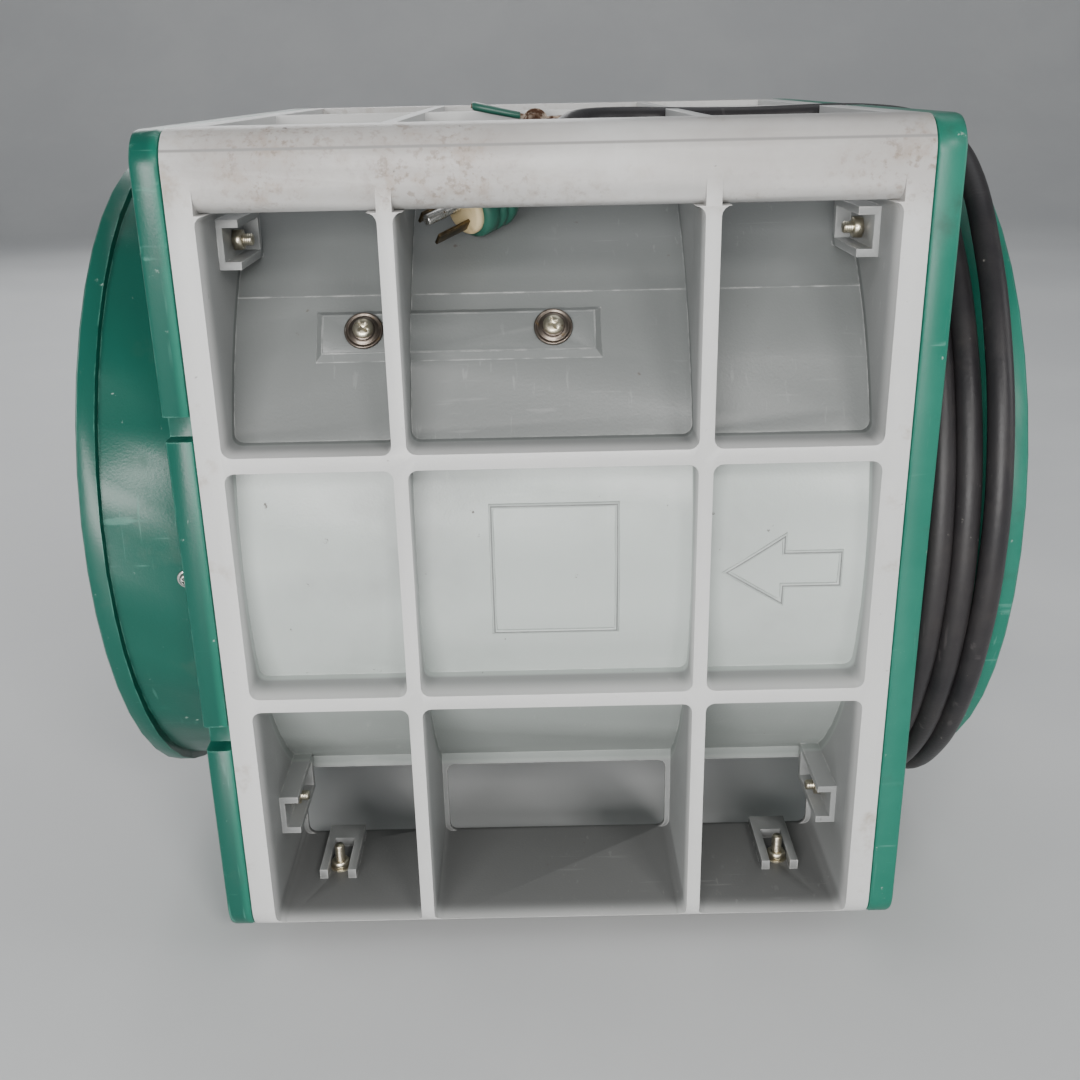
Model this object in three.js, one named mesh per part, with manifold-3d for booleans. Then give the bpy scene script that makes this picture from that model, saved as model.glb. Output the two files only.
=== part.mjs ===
// Portable axial ventilation fan: a ribbed two-half box housing around a round duct, with an end
// plate and a hose spigot on each side, and the mains cord wound on the inlet spigot.
// Millimetres, +Z up, floor at Z = 0. +X is the inlet side and -Y is the front.
import * as THREE from "three";
import Module from "manifold-3d";

const wasm = await Module();
wasm.setup();

// ---- driving dimensions -------------------------------------------------------------------
const GAP = 0.3;                  // clearance between pieces that touch
const FOOT_HEIGHT = 12;
const BOX_W = 288;                // housing along the duct (X)
const BOX_D = 355;                // housing front to rear (Y)
const BOX_H = 360;                // housing height without feet
const SIDE_WALL = 10.5;
const RIB = 6;                    // upright ribs
const RIB_X = 62;                 // middle of an upright rib from the middle of the housing
const BASE_SHEET = 4;
const BASE_DEPTH = 79;            // base sheet, front edge to open middle
const WEB_T = 2.5;                // windowed web that stands on the base sheet's inner edge
const WEB_MARGIN = 2.5;
const WEB_TOP_BAR = 6.5;
const BAR_HEIGHT = 31;            // grip bar along the top front and top rear edges
const BAR_DEPTH = 33;
const SHELF_LOW = [130.2, 136.5]; // underside and top of the lower shelf
const SHELF_HIGH = [239.4, 246];
const POCKET_CORNER = 4;
const BOX_EDGE = 14;              // outer corner radius of housing and end plates, seen from the side
const DRUM_R = 164;               // duct wall, outside
const DUCT_R = 160;               // duct wall, inside
const SHOULDER_ANGLE = 41.8;      // elevation where the duct wall turns flat towards the top
const SHOULDER_SLOPE = 40;
const PARTING_FLANGE = 4;         // flange thickness on each half where the halves meet
const PLATE_T = 11.5;
const PLATE_EDGE = 4;
const SPIGOT_R = 158.5;
const SPIGOT_BORE = 154.5;
const LIP_R = 162.5;
const LIP_W = 8.5;
const OVERALL_X = 201.3;          // outer face of each spigot lip
const BOLT_Y = 129;
const BOLT_DZ = 134.5;            // bolt height above and below the duct axis
const CHANNEL_LEN = [105, 146.8]; // nut channel from the middle plane, near and far end
const CHANNEL_H = 20;
const CHANNEL_ARM = 9;
const CHANNEL_WEB = 2.5;
const FOOT_X = 110;
const FOOT_Y = 130;
const PAD_ANGLE = 35;             // elevation of the motor screw pads
const PAD_X = -38.5;
const PAD_LEN = 116;
const PAD_WIDTH = 18;
const PAD_RISE = 2.5;
const SCREW_SPACING = 80;
const MOTOR_R = 62.5;
const MOTOR_LEN = 104;
const BELL_LEN = 12;
const SHAFT_R = 7;
const HUB_R = 46;
const HUB_X = [33, 77];
const TIP_R = 155;
const BLADES = 6;
const GUARD_WIRE = 4;
const GUARD_X = 166;
const CORD_D = 11;
const COIL_X = [157.6, 190.9];
const COIL_R = [162.6, 173];
const COIL_DROP = 3.2;            // slack turns hang this far below the spigot's middle
const SLOT_Y = -15;               // cord slots in the top edges
const SLOT_W = 20;
const SLOT_DEPTH = 12;
const TURN = 48;                  // facets on the large round parts

// ---- worked-out places --------------------------------------------------------------------
const AXIS_Z = FOOT_HEIGHT + BOX_H / 2;
const TOP = FOOT_HEIGHT + BOX_H;
const HALF_W = BOX_W / 2;
const HALF_D = BOX_D / 2;
const WALL_IN = HALF_W - SIDE_WALL;
const PLATE_IN = HALF_W + GAP;
const PLATE_OUT = PLATE_IN + PLATE_T;
const BASE_TOP = FOOT_HEIGHT + BASE_SHEET;
const COLUMNS = [
  [-WALL_IN, -RIB_X - RIB / 2],
  [-RIB_X + RIB / 2, RIB_X - RIB / 2],
  [RIB_X + RIB / 2, WALL_IN],
];
const ROWS = [
  [BASE_TOP, SHELF_LOW[0]],
  [SHELF_LOW[1], SHELF_HIGH[0]],
  [SHELF_HIGH[1], TOP - BAR_HEIGHT],
];
const SCREW_XS = [PAD_X - SCREW_SPACING / 2, PAD_X + SCREW_SPACING / 2];
const rad = (degrees) => (degrees * Math.PI) / 180;

// ---- solid helpers ------------------------------------------------------------------------
function solid(geometry) {
  const flat = geometry.index ? geometry.toNonIndexed() : geometry;
  const positions = flat.attributes.position.array;
  const seen = new Map();
  const points = [];
  const corners = [];
  for (let i = 0; i < positions.length; i += 3) {
    const key = [0, 1, 2].map((k) => Math.round(positions[i + k] * 1e4)).join(",");
    if (!seen.has(key)) {
      seen.set(key, points.length / 3);
      points.push(positions[i], positions[i + 1], positions[i + 2]);
    }
    corners.push(seen.get(key));
  }
  const tris = [];
  for (let i = 0; i < corners.length; i += 3) {
    const [a, b, c] = corners.slice(i, i + 3);
    if (a !== b && b !== c && c !== a) {
      tris.push(a, b, c);
    }
  }
  const vertProperties = new Float32Array(points);
  const triVerts = new Uint32Array(tris);
  return new wasm.Manifold(new wasm.Mesh({ numProp: 3, vertProperties, triVerts }));
}

function toGeometry(body) {
  const mesh = body.getMesh();
  const geometry = new THREE.BufferGeometry();
  geometry.setAttribute("position", new THREE.BufferAttribute(mesh.vertProperties, 3));
  geometry.setIndex(new THREE.BufferAttribute(mesh.triVerts, 1));
  const flat = geometry.toNonIndexed();
  flat.computeVertexNormals();
  return flat;
}

function box(x, y, z) {
  const geometry = new THREE.BoxGeometry(x[1] - x[0], y[1] - y[0], z[1] - z[0]);
  geometry.translate((x[0] + x[1]) / 2, (y[0] + y[1]) / 2, (z[0] + z[1]) / 2);
  return solid(geometry);
}

function rod(radius, from, to, facets = 16, endRadius = radius) {
  const start = new THREE.Vector3(...from);
  const along = new THREE.Vector3(...to).sub(start);
  const geometry = new THREE.CylinderGeometry(endRadius, radius, along.length(), facets);
  geometry.translate(0, along.length() / 2, 0);
  const turn = new THREE.Quaternion().setFromUnitVectors(
    new THREE.Vector3(0, 1, 0), along.clone().normalize());
  geometry.applyQuaternion(turn);
  geometry.translate(start.x, start.y, start.z);
  return solid(geometry);
}

const hexagon = (acrossFlats, from, to) => rod(acrossFlats / Math.sqrt(3), from, to, 6);

// A round body about the duct axis; the profile lists [radius, x] pairs and closes on itself.
function turned(profile, facets = TURN, drop = 0) {
  const closed = [...profile, profile[0]].map(([r, x]) => new THREE.Vector2(r, x));
  const geometry = new THREE.LatheGeometry(closed, facets);
  geometry.rotateZ(-Math.PI / 2);
  geometry.translate(0, 0, AXIS_Z - drop);
  return solid(geometry);
}

// A YZ outline pushed along X.
function pushed(outline, x, bevel = 0) {
  const geometry = new THREE.ExtrudeGeometry(outline, {
    depth: x[1] - x[0] - 2 * bevel,
    bevelEnabled: bevel > 0,
    bevelThickness: bevel,
    bevelSize: bevel,
    bevelOffset: -bevel,
    bevelSegments: 2,
    curveSegments: 5,
  });
  geometry.translate(0, 0, bevel);
  const axes = new THREE.Matrix4().makeBasis(
    new THREE.Vector3(0, 1, 0), new THREE.Vector3(0, 0, 1), new THREE.Vector3(1, 0, 0));
  geometry.applyMatrix4(axes);
  geometry.translate(x[0], 0, 0);
  return solid(geometry);
}

function roundedRect(u, v, radius) {
  const shape = new THREE.Shape();
  shape.moveTo(u[0] + radius, v[0]);
  shape.lineTo(u[1] - radius, v[0]);
  shape.absarc(u[1] - radius, v[0] + radius, radius, -Math.PI / 2, 0);
  shape.lineTo(u[1], v[1] - radius);
  shape.absarc(u[1] - radius, v[1] - radius, radius, 0, Math.PI / 2);
  shape.lineTo(u[0] + radius, v[1]);
  shape.absarc(u[0] + radius, v[1] - radius, radius, Math.PI / 2, Math.PI);
  shape.lineTo(u[0], v[0] + radius);
  shape.absarc(u[0] + radius, v[0] + radius, radius, Math.PI, 1.5 * Math.PI);
  return shape;
}

// A window through the front or rear face: a rounded rectangle in XZ pushed along Y.
function window(x, z, y) {
  const geometry = new THREE.ExtrudeGeometry(roundedRect(x, z, POCKET_CORNER), {
    depth: y[1] - y[0],
    bevelEnabled: false,
    curveSegments: 2,
  });
  geometry.rotateX(Math.PI / 2);
  geometry.translate(0, y[1], 0);
  return solid(geometry);
}

const turnedAboutAxis = (body, degrees) => body.rotate([degrees, 0, 0]).translate([0, 0, AXIS_Z]);

const model = new THREE.Group();

function piece(name, body, color, roughness, metalness) {
  const geometry = body.isBufferGeometry ? body : toGeometry(body);
  const material = new THREE.MeshStandardMaterial({ color, roughness, metalness });
  const mesh = new THREE.Mesh(geometry, material);
  mesh.name = name;
  model.add(mesh);
}

const GREY = ["#b4b6b4", 0.55, 0];
const GREEN = ["#1f7a5a", 0.45, 0];
const STEEL = ["#b9b6ae", 0.3, 1];
const BLACK = ["#1d1d1f", 0.7, 0];
const CAST = ["#8b8f90", 0.45, 0.8];
const BRASS = ["#b08d57", 0.35, 1];

// ---- housing halves -----------------------------------------------------------------------
function drumOutside(x) {
  const a = rad(SHOULDER_ANGLE);
  const y = DRUM_R * Math.cos(a);
  const z = AXIS_Z + DRUM_R * Math.sin(a);
  const flatTop = AXIS_Z + DRUM_R;
  const shoulderY = y - (flatTop - z) / Math.tan(rad(SHOULDER_SLOPE));
  const shoulders = new THREE.Shape([
    new THREE.Vector2(-y, z),
    new THREE.Vector2(0, AXIS_Z),
    new THREE.Vector2(y, z),
    new THREE.Vector2(shoulderY, flatTop),
    new THREE.Vector2(-shoulderY, flatTop),
  ]);
  const round = rod(DRUM_R, [x[0], 0, AXIS_Z], [x[1], 0, AXIS_Z], TURN);
  return round.add(pushed(shoulders, x));
}

function barRounding(x, front, radius) {
  const y = front ? -HALF_D : -HALF_D + BAR_DEPTH;
  const inward = front ? 1 : -1;
  const z = TOP - BAR_HEIGHT;
  const corner = box(x, [Math.min(y, y + inward * radius), Math.max(y, y + inward * radius)],
    [z, z + radius]);
  const middle = y + inward * radius;
  return corner.subtract(rod(radius, [x[0] - 1, middle, z + radius], [x[1] + 1, middle, z + radius]));
}

function nutChannel(side, z) {
  const wall = side * WALL_IN;
  const inward = -side;
  const span = (a, b) => [Math.min(a, b), Math.max(a, b)];
  const outer = box(span(wall, wall + inward * CHANNEL_ARM), [-CHANNEL_LEN[1], -CHANNEL_LEN[0]],
    [z - CHANNEL_H / 2, z + CHANNEL_H / 2]);
  const slotTop = CHANNEL_H / 2 - 3.3;
  const slot = box(span(wall + inward * CHANNEL_WEB, wall + inward * (CHANNEL_ARM + 1)),
    [-CHANNEL_LEN[1] - 1, -CHANNEL_LEN[0] - 4], [z - slotTop, z + slotTop]);
  return outer.subtract(slot);
}

function footBoss(x) {
  const z = [BASE_TOP - 1, BASE_TOP + 5];
  const prongs = [-1, 1].map((side) => {
    const edge = x + side * 7;
    return box([edge - 2, edge + 2], [-FOOT_Y - 10, -101], z);
  });
  const back = box([x - 9, x + 9], [-113, -101], z);
  return prongs[0].add(prongs[1]).add(back);
}

// The web closes the space under the duct, and each column has a window through it.
function windowedWeb() {
  const y = [-HALF_D + BASE_DEPTH - WEB_T, -HALF_D + BASE_DEPTH];
  const ductZ = AXIS_Z - Math.sqrt(DRUM_R ** 2 - y[0] ** 2);
  let web = box([-WALL_IN - 1, WALL_IN + 1], y, [BASE_TOP - 1, ductZ + 2]);
  for (const [left, right] of COLUMNS) {
    const width = [left + WEB_MARGIN, right - WEB_MARGIN];
    web = web.subtract(window(width, [BASE_TOP, ductZ - WEB_TOP_BAR], [y[0] - 1, y[1] + 1]));
  }
  return web;
}

function housingFront() {
  let body = pushed(roundedRect([-HALF_D, HALF_D], [FOOT_HEIGHT, TOP], BOX_EDGE), [-HALF_W, HALF_W]);
  const cutFront = [-HALF_D - 1, 1];
  for (const x of COLUMNS) {
    for (const z of ROWS) {
      body = body.subtract(window(x, z, cutFront));
    }
    body = body.subtract(box(x, [-HALF_D + BAR_DEPTH, -GAP / 2 - PARTING_FLANGE], [AXIS_Z, TOP + 1]));
    body = body.subtract(barRounding(x, true, 10));
    body = body.subtract(barRounding(x, false, 6));
  }
  body = body.subtract(box([-HALF_W - 1, HALF_W + 1], [-HALF_D + BASE_DEPTH, 1], [0, AXIS_Z - 100]));
  body = body.add(windowedWeb());
  body = body.add(drumOutside([-HALF_W, HALF_W]));
  body = body.add(box([-WALL_IN, WALL_IN], [-GAP / 2 - PARTING_FLANGE, 1],
    [FOOT_HEIGHT + BASE_SHEET, AXIS_Z - DRUM_R + 3]));
  const bossHeights = [AXIS_Z - BOLT_DZ, AXIS_Z + BOLT_DZ];
  for (const side of [-1, 1]) {
    for (const z of bossHeights) {
      body = body.add(nutChannel(side, z));
    }
    body = body.add(footBoss(side * FOOT_X));
  }
  const padZ = [DUCT_R + 1, DRUM_R + PAD_RISE];
  const pad = box([PAD_X - PAD_LEN / 2, PAD_X + PAD_LEN / 2], [-PAD_WIDTH / 2, PAD_WIDTH / 2], padZ);
  body = body.add(turnedAboutAxis(pad, 90 - PAD_ANGLE));
  body = body.subtract(rod(DUCT_R, [-HALF_W - 1, 0, AXIS_Z], [HALF_W + 1, 0, AXIS_Z], TURN));
  for (const side of [-1, 1]) {
    for (const z of bossHeights) {
      const boltHole = rod(2.8, [side * (WALL_IN - 5), -BOLT_Y, z], [side * (HALF_W + 1), -BOLT_Y, z], 12);
      body = body.subtract(boltHole);
    }
    const studHole = rod(2.8, [side * FOOT_X, -FOOT_Y, 0], [side * FOOT_X, -FOOT_Y, BASE_TOP + 1], 12);
    body = body.subtract(studHole);
  }
  for (const x of SCREW_XS) {
    const screwHole = rod(2.8, [x, 0, DUCT_R - 8], [x, 0, DRUM_R + 8], 12);
    body = body.subtract(turnedAboutAxis(screwHole, 90 - PAD_ANGLE));
  }
  return body.subtract(box([-HALF_W - 1, HALF_W + 1], [-GAP / 2, HALF_D + 1], [0, TOP + 1]));
}

const plainHalf = housingFront();
const cordSlot = (x) => box(x, [SLOT_Y - SLOT_W / 2, SLOT_Y + SLOT_W / 2], [TOP - SLOT_DEPTH, TOP + 1]);
const frontHalf = plainHalf
  .subtract(cordSlot([RIB_X - RIB, RIB_X + RIB]))
  .subtract(cordSlot([WALL_IN - 1, HALF_W + 1]));
piece("housing_front_half", frontHalf, ...GREY);
piece("housing_rear_half", plainHalf.mirror([0, 1, 0]), ...GREY);

// ---- end plates with hose spigots ---------------------------------------------------------
function endPlate() {
  const outline = roundedRect([-HALF_D, HALF_D], [FOOT_HEIGHT, TOP], BOX_EDGE);
  let plate = pushed(outline, [PLATE_IN, PLATE_OUT], PLATE_EDGE / 2);
  const spigot = turned([
    [SPIGOT_BORE, PLATE_IN + 1],
    [SPIGOT_R, PLATE_IN + 1],
    [SPIGOT_R, OVERALL_X - LIP_W],
    [LIP_R, OVERALL_X - LIP_W],
    [LIP_R, OVERALL_X - 1],
    [LIP_R - 1, OVERALL_X],
    [SPIGOT_BORE, OVERALL_X],
  ]);
  plate = plate.subtract(rod(SPIGOT_BORE + 2, [PLATE_IN - 1, 0, AXIS_Z], [PLATE_OUT + 1, 0, AXIS_Z], TURN));
  plate = plate.add(spigot);
  plate = plate.subtract(rod(SPIGOT_BORE, [PLATE_IN - 1, 0, AXIS_Z], [PLATE_OUT + 1, 0, AXIS_Z], TURN));
  for (const y of [-BOLT_Y, BOLT_Y]) {
    for (const z of [AXIS_Z - BOLT_DZ, AXIS_Z + BOLT_DZ]) {
      plate = plate.subtract(rod(2.8, [PLATE_IN - 1, y, z], [PLATE_OUT + 1, y, z], 12));
    }
  }
  return plate;
}

const NOTCHES = [[111.6, 123.6], [253.3, 263.6]];
const barePlate = endPlate();
let outletPlate = barePlate.mirror([1, 0, 0]);
for (const z of NOTCHES) {
  const notch = box([-PLATE_OUT - 1, -PLATE_IN + 1], [-HALF_D - 1, -HALF_D + 9], z);
  outletPlate = outletPlate.subtract(notch);
}
piece("outlet_end_plate", outletPlate, ...GREEN);
piece("inlet_end_plate", barePlate.subtract(cordSlot([PLATE_IN - 1, PLATE_OUT + 1])), ...GREEN);

// ---- end plate bolts and their nuts -------------------------------------------------------
let fastener = 1;
for (const side of [-1, 1]) {
  for (const y of [-BOLT_Y, BOLT_Y]) {
    for (const z of [AXIS_Z - BOLT_DZ, AXIS_Z + BOLT_DZ]) {
      const at = (x) => [side * x, y, z];
      const head = rod(4.7, at(PLATE_OUT + GAP), at(PLATE_OUT + GAP + 3.4), 12, 3.4);
      const bolt = head.add(rod(2.5, at(WALL_IN - 11), at(PLATE_OUT + GAP + 1), 8));
      piece(`end_plate_bolt_${fastener}`, bolt, ...STEEL);
      const nutFace = WALL_IN - CHANNEL_WEB - GAP;
      const nutHole = rod(2.8, at(nutFace - 5), at(nutFace + 1), 8);
      const nut = hexagon(8, at(nutFace - 4), at(nutFace)).subtract(nutHole);
      piece(`end_plate_nut_${fastener}`, nut, ...STEEL);
      fastener += 1;
    }
  }
}

// ---- feet ---------------------------------------------------------------------------------
let foot = 1;
for (const x of [-FOOT_X, FOOT_X]) {
  for (const y of [-FOOT_Y, FOOT_Y]) {
    const at = (z) => [x, y, z];
    const rubber = rod(11.5, at(0), at(FOOT_HEIGHT - GAP), 18, 13.5)
      .subtract(rod(5, at(-1), at(7.3), 12))
      .subtract(rod(2.8, at(6), at(FOOT_HEIGHT + 1), 12));
    piece(`rubber_foot_${foot}`, rubber, ...BLACK);
    const screw = rod(4.5, at(4), at(7), 12)
      .add(rod(2.5, at(5), at(29), 8))
      .add(hexagon(8, at(BASE_TOP + GAP), at(BASE_TOP + GAP + 4)));
    piece(`foot_screw_and_nut_${foot}`, screw, ...STEEL);
    foot += 1;
  }
}

// ---- motor, hung on two folded brackets ---------------------------------------------------
const motorX = [PAD_X - MOTOR_LEN / 2, PAD_X + MOTOR_LEN / 2];
const onAxis = (radius, x, facets = 28) => rod(radius, [x[0], 0, AXIS_Z], [x[1], 0, AXIS_Z], facets);
piece("motor_body", onAxis(MOTOR_R, motorX).subtract(onAxis(30, [motorX[0] + 8, motorX[1] - 8], 24))
  .subtract(onAxis(18.3, [motorX[0] - 1, motorX[1] + 1], 24)), ...CAST);

function motorBell(inner, outward) {
  const x = (a, b) => [Math.min(inner + outward * a, inner + outward * b),
    Math.max(inner + outward * a, inner + outward * b)];
  return onAxis(MOTOR_R - 1.5, x(GAP, BELL_LEN - 4))
    .add(onAxis(28, x(BELL_LEN - 5, BELL_LEN), 24))
    .subtract(onAxis(16.3, x(-1, BELL_LEN - 3), 24))
    .subtract(onAxis(SHAFT_R + 1, x(0, BELL_LEN + 1), 24));
}
piece("motor_bell_outlet_side", motorBell(motorX[0], -1), ...CAST);
piece("motor_bell_inlet_side", motorBell(motorX[1], 1), ...CAST);

function bearing(inner, outward) {
  const x = [inner + outward * 1, inner + outward * (BELL_LEN - 3 - GAP)].sort((a, b) => a - b);
  return onAxis(16, x, 24).subtract(onAxis(SHAFT_R + 0.05, [x[0] - 1, x[1] + 1], 24));
}
piece("shaft_bearing_outlet_side", bearing(motorX[0], -1), ...STEEL);
piece("shaft_bearing_inlet_side", bearing(motorX[1], 1), ...STEEL);

const shaft = onAxis(SHAFT_R, [motorX[0] - BELL_LEN - 2, HUB_X[1] - 8], 24)
  .add(onAxis(26, [motorX[0] + 12, motorX[1] - 12], 24))
  .add(onAxis(4, [HUB_X[1] - 9, HUB_X[1] + 9], 12));
piece("motor_shaft_and_rotor", shaft, ...STEEL);

// ---- impeller -----------------------------------------------------------------------------
function blade() {
  const stations = 4;
  const chord = 4;
  const middleX = (HUB_X[0] + HUB_X[1]) / 2;
  const rows = [];
  for (let i = 0; i <= stations; i += 1) {
    const t = i / stations;
    const r = HUB_R - 6 + t * (TIP_R - HUB_R + 6);
    const pitch = rad(48 - 24 * t);
    const width = 62 + 30 * t;
    const thick = 4 - 2 * t;
    const ring = [];
    for (let j = 0; j <= chord; j += 1) {
      ring.push([j / chord - 0.5, 0.5]);
    }
    for (let j = chord; j >= 0; j -= 1) {
      ring.push([j / chord - 0.5, -0.5]);
    }
    rows.push(ring.map(([s, side]) => {
      const camber = 0.06 * width * (1 - 4 * s * s);
      const across = side * thick * (1 - 1.2 * s * s) + camber;
      const along = s * width;
      const x = along * Math.sin(pitch) + across * Math.cos(pitch);
      const swing = (along * Math.cos(pitch) - across * Math.sin(pitch)) / r;
      return [middleX + x, r * Math.sin(swing), r * Math.cos(swing)];
    }));
  }
  const count = rows[0].length;
  const points = rows.flat(2);
  const index = [];
  for (let i = 0; i < stations; i += 1) {
    for (let j = 0; j < count; j += 1) {
      const a = i * count + j;
      const b = i * count + ((j + 1) % count);
      index.push(a, b, a + count, b, b + count, a + count);
    }
  }
  const tip = stations * count;
  for (let j = 1; j < count - 1; j += 1) {
    const last = count - 1;
    if (j < last / 2) {
      index.push(j - 1, last - j + 1, j, j, last - j + 1, last - j);
      index.push(tip + j - 1, tip + j, tip + last - j + 1, tip + j, tip + last - j, tip + last - j + 1);
    }
  }
  const geometry = new THREE.BufferGeometry();
  geometry.setAttribute("position", new THREE.Float32BufferAttribute(points, 3));
  geometry.setIndex(index);
  return solid(geometry);
}

function impeller() {
  const single = blade();
  const hubWall = 4;
  const origin = (radius, x, facets) => rod(radius, [x[0], 0, 0], [x[1], 0, 0], facets);
  let body = origin(HUB_R, HUB_X, 30);
  for (let i = 0; i < BLADES; i += 1) {
    body = body.add(single.rotate([(360 / BLADES) * i, 0, 0]));
  }
  return body
    .subtract(origin(HUB_R - hubWall, [HUB_X[0] - 30, HUB_X[1] - 12], 30))
    .add(origin(16, [HUB_X[0] + 4, HUB_X[1] - 8], 24))
    .subtract(origin(SHAFT_R + GAP, [HUB_X[0] - 1, HUB_X[1] - 8 + GAP], 24))
    .subtract(origin(4 + GAP, [HUB_X[0] - 1, HUB_X[1] + 1], 12))
    .translate([0, 0, AXIS_Z]);
}
piece("impeller", impeller(), "#d9dcda", 0.4, 0);
const nutX = HUB_X[1] + GAP;
piece("impeller_nut", hexagon(13, [nutX, 0, AXIS_Z], [nutX + 6.5, 0, AXIS_Z])
  .subtract(onAxis(4 + GAP, [nutX - 1, nutX + 8], 12)), ...STEEL);

// ---- motor brackets and their screws ------------------------------------------------------
function bracket(angle) {
  const web = box([motorX[0] + 6, motorX[1] - 6], [-1.5, 1.5], [MOTOR_R + GAP + 1, DUCT_R - 2]);
  const flange = box([PAD_X - PAD_LEN / 2 + 6, PAD_X + PAD_LEN / 2 - 6], [-9.5, 9.5],
    [DUCT_R - 4.2, DUCT_R - 0.9]);
  const saddle = box([motorX[0] + 6, motorX[1] - 6], [-14, 14], [MOTOR_R + GAP, MOTOR_R + GAP + 3]);
  let body = web.add(flange).add(saddle);
  for (const x of SCREW_XS) {
    body = body.subtract(rod(5.2, [x, 0, DUCT_R - 20], [x, 0, DUCT_R - 5.2], 12));
    body = body.subtract(rod(2.8, [x, 0, DUCT_R - 20], [x, 0, DUCT_R + 1], 12));
  }
  return turnedAboutAxis(body, angle);
}
piece("motor_bracket_front", bracket(90 - PAD_ANGLE), ...STEEL);
piece("motor_bracket_rear", bracket(PAD_ANGLE - 90), ...STEEL);

const washerZ = DRUM_R + PAD_RISE + GAP;
for (const [where, angle] of [["front", 90 - PAD_ANGLE], ["rear", PAD_ANGLE - 90]]) {
  SCREW_XS.forEach((x, i) => {
    const screw = rod(8.2, [x, 0, washerZ], [x, 0, washerZ + 1.6], 16)
      .add(rod(4.3, [x, 0, washerZ + 1], [x, 0, washerZ + 4.8], 12, 3.2))
      .add(rod(2.5, [x, 0, DUCT_R - 14], [x, 0, washerZ + 1], 8));
    piece(`bracket_screw_${where}_${i + 1}`, turnedAboutAxis(screw, angle), ...STEEL);
  });
}

// ---- wire guards inside the spigots -------------------------------------------------------
function guard() {
  const w = GUARD_WIRE / 2;
  const rim = SPIGOT_BORE - GAP;
  const rings = [44, 78, 112, 140];
  let body = turned([[rim - GUARD_WIRE, -w - 4], [rim, -w - 4], [rim, w], [rim - GUARD_WIRE, w]], 36);
  for (const r of rings) {
    body = body.add(turned([[r - w, -w], [r + w, -w], [r + w, w], [r - w, w]], 24));
  }
  for (let i = 0; i < 3; i += 1) {
    const spoke = box([-w - 3, w - 3], [-rim + 1, rim - 1], [-w, w]).rotate([60 * i + 30, 0, 0]);
    body = body.add(spoke.translate([0, 0, AXIS_Z]));
  }
  return body.add(onAxis(20, [-w - 3, w], 16));
}
const guardBody = guard();
piece("inlet_guard", guardBody.translate([GUARD_X, 0, 0]), ...STEEL);
piece("outlet_guard", guardBody.translate([GUARD_X, 0, 0]).mirror([1, 0, 0]), ...STEEL);

// ---- switch box in the upper rear window --------------------------------------------------
const SWITCH_X = [65.3, 120];
const SWITCH_FACE = 166;
const SWITCH_Z = [280, 337];
const LEVER_AT = [93, 160, 299];
function switchBox() {
  const outline = new THREE.Shape([
    new THREE.Vector2(SWITCH_FACE, SWITCH_Z[1]),
    new THREE.Vector2(106, SWITCH_Z[1]),
    new THREE.Vector2(106, 322),
    new THREE.Vector2(150, SWITCH_Z[0]),
    new THREE.Vector2(SWITCH_FACE, SWITCH_Z[0]),
  ]);
  const hollow = new THREE.Shape([
    new THREE.Vector2(SWITCH_FACE + 1, SWITCH_Z[1] - 3),
    new THREE.Vector2(109, SWITCH_Z[1] - 3),
    new THREE.Vector2(109, 323.5),
    new THREE.Vector2(151, SWITCH_Z[0] + 3),
    new THREE.Vector2(SWITCH_FACE + 1, SWITCH_Z[0] + 3),
  ]);
  return pushed(outline, SWITCH_X).subtract(pushed(hollow, [SWITCH_X[0] + 3, SWITCH_X[1] - 3]));
}
piece("switch_box", switchBox(), ...BLACK);
const lidY = [SWITCH_FACE + GAP, SWITCH_FACE + GAP + 3];
const lid = box(SWITCH_X, lidY, SWITCH_Z)
  .add(rod(9.5, [LEVER_AT[0], lidY[0], LEVER_AT[2]], [LEVER_AT[0], lidY[1] + 3, LEVER_AT[2]], 20))
  .subtract(rod(6.5, [LEVER_AT[0], lidY[0] - 1, LEVER_AT[2]], [LEVER_AT[0], lidY[1] + 4, LEVER_AT[2]], 20));
piece("switch_box_lid", lid, ...CAST);
const leverTilt = 12;
const leverLength = 16.5;          // the knob stays inside the housing's face
const lever = rod(2.2, [0, 0, 0], [0, leverLength, 0], 12, 3).add(rod(4, [-4, 0, 0], [4, 0, 0], 16))
  .rotate([-leverTilt, 0, 0]).translate(LEVER_AT);
piece("switch_lever", lever, ...STEEL);
piece("run_capacitor", rod(11, [72, 146, 322.7], [114, 146, 322.7], 16), "#d8d8d2", 0.5, 0);

// ---- cord exit on the inlet end plate -----------------------------------------------------
const EXIT = [163.6, 165, 272];
const exitBlock = box([PLATE_OUT + GAP, EXIT[0] + 9], [153, 177], [296, 326])
  .add(rod(10, [EXIT[0], EXIT[1], 297], EXIT, 20, 7.2));
piece("cord_exit_gland", exitBlock.subtract(box([100, PLATE_OUT + GAP], [100, 200], [200, 340])), ...BLACK);

// ---- mains cord ---------------------------------------------------------------------------
function cordStretch(points, diameter, facets, steps) {
  const curve = new THREE.CatmullRomCurve3(points.map((p) => new THREE.Vector3(...p)), false, "centripetal");
  const section = new THREE.Shape();
  for (let i = 0; i < facets; i += 1) {
    const a = (2 * Math.PI * i) / facets;
    const draw = i === 0 ? "moveTo" : "lineTo";
    section[draw]((diameter / 2) * Math.cos(a), (diameter / 2) * Math.sin(a));
  }
  section.closePath();
  return solid(new THREE.ExtrudeGeometry(section, { steps, extrudePath: curve, bevelEnabled: false }));
}

const coil = [[COIL_R[0], COIL_X[0]], [COIL_R[1], COIL_X[0]], [COIL_R[1], COIL_X[1]], [COIL_R[0], COIL_X[1]]];
piece("cord_coil", turned(coil, 40, COIL_DROP), ...BLACK);

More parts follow.
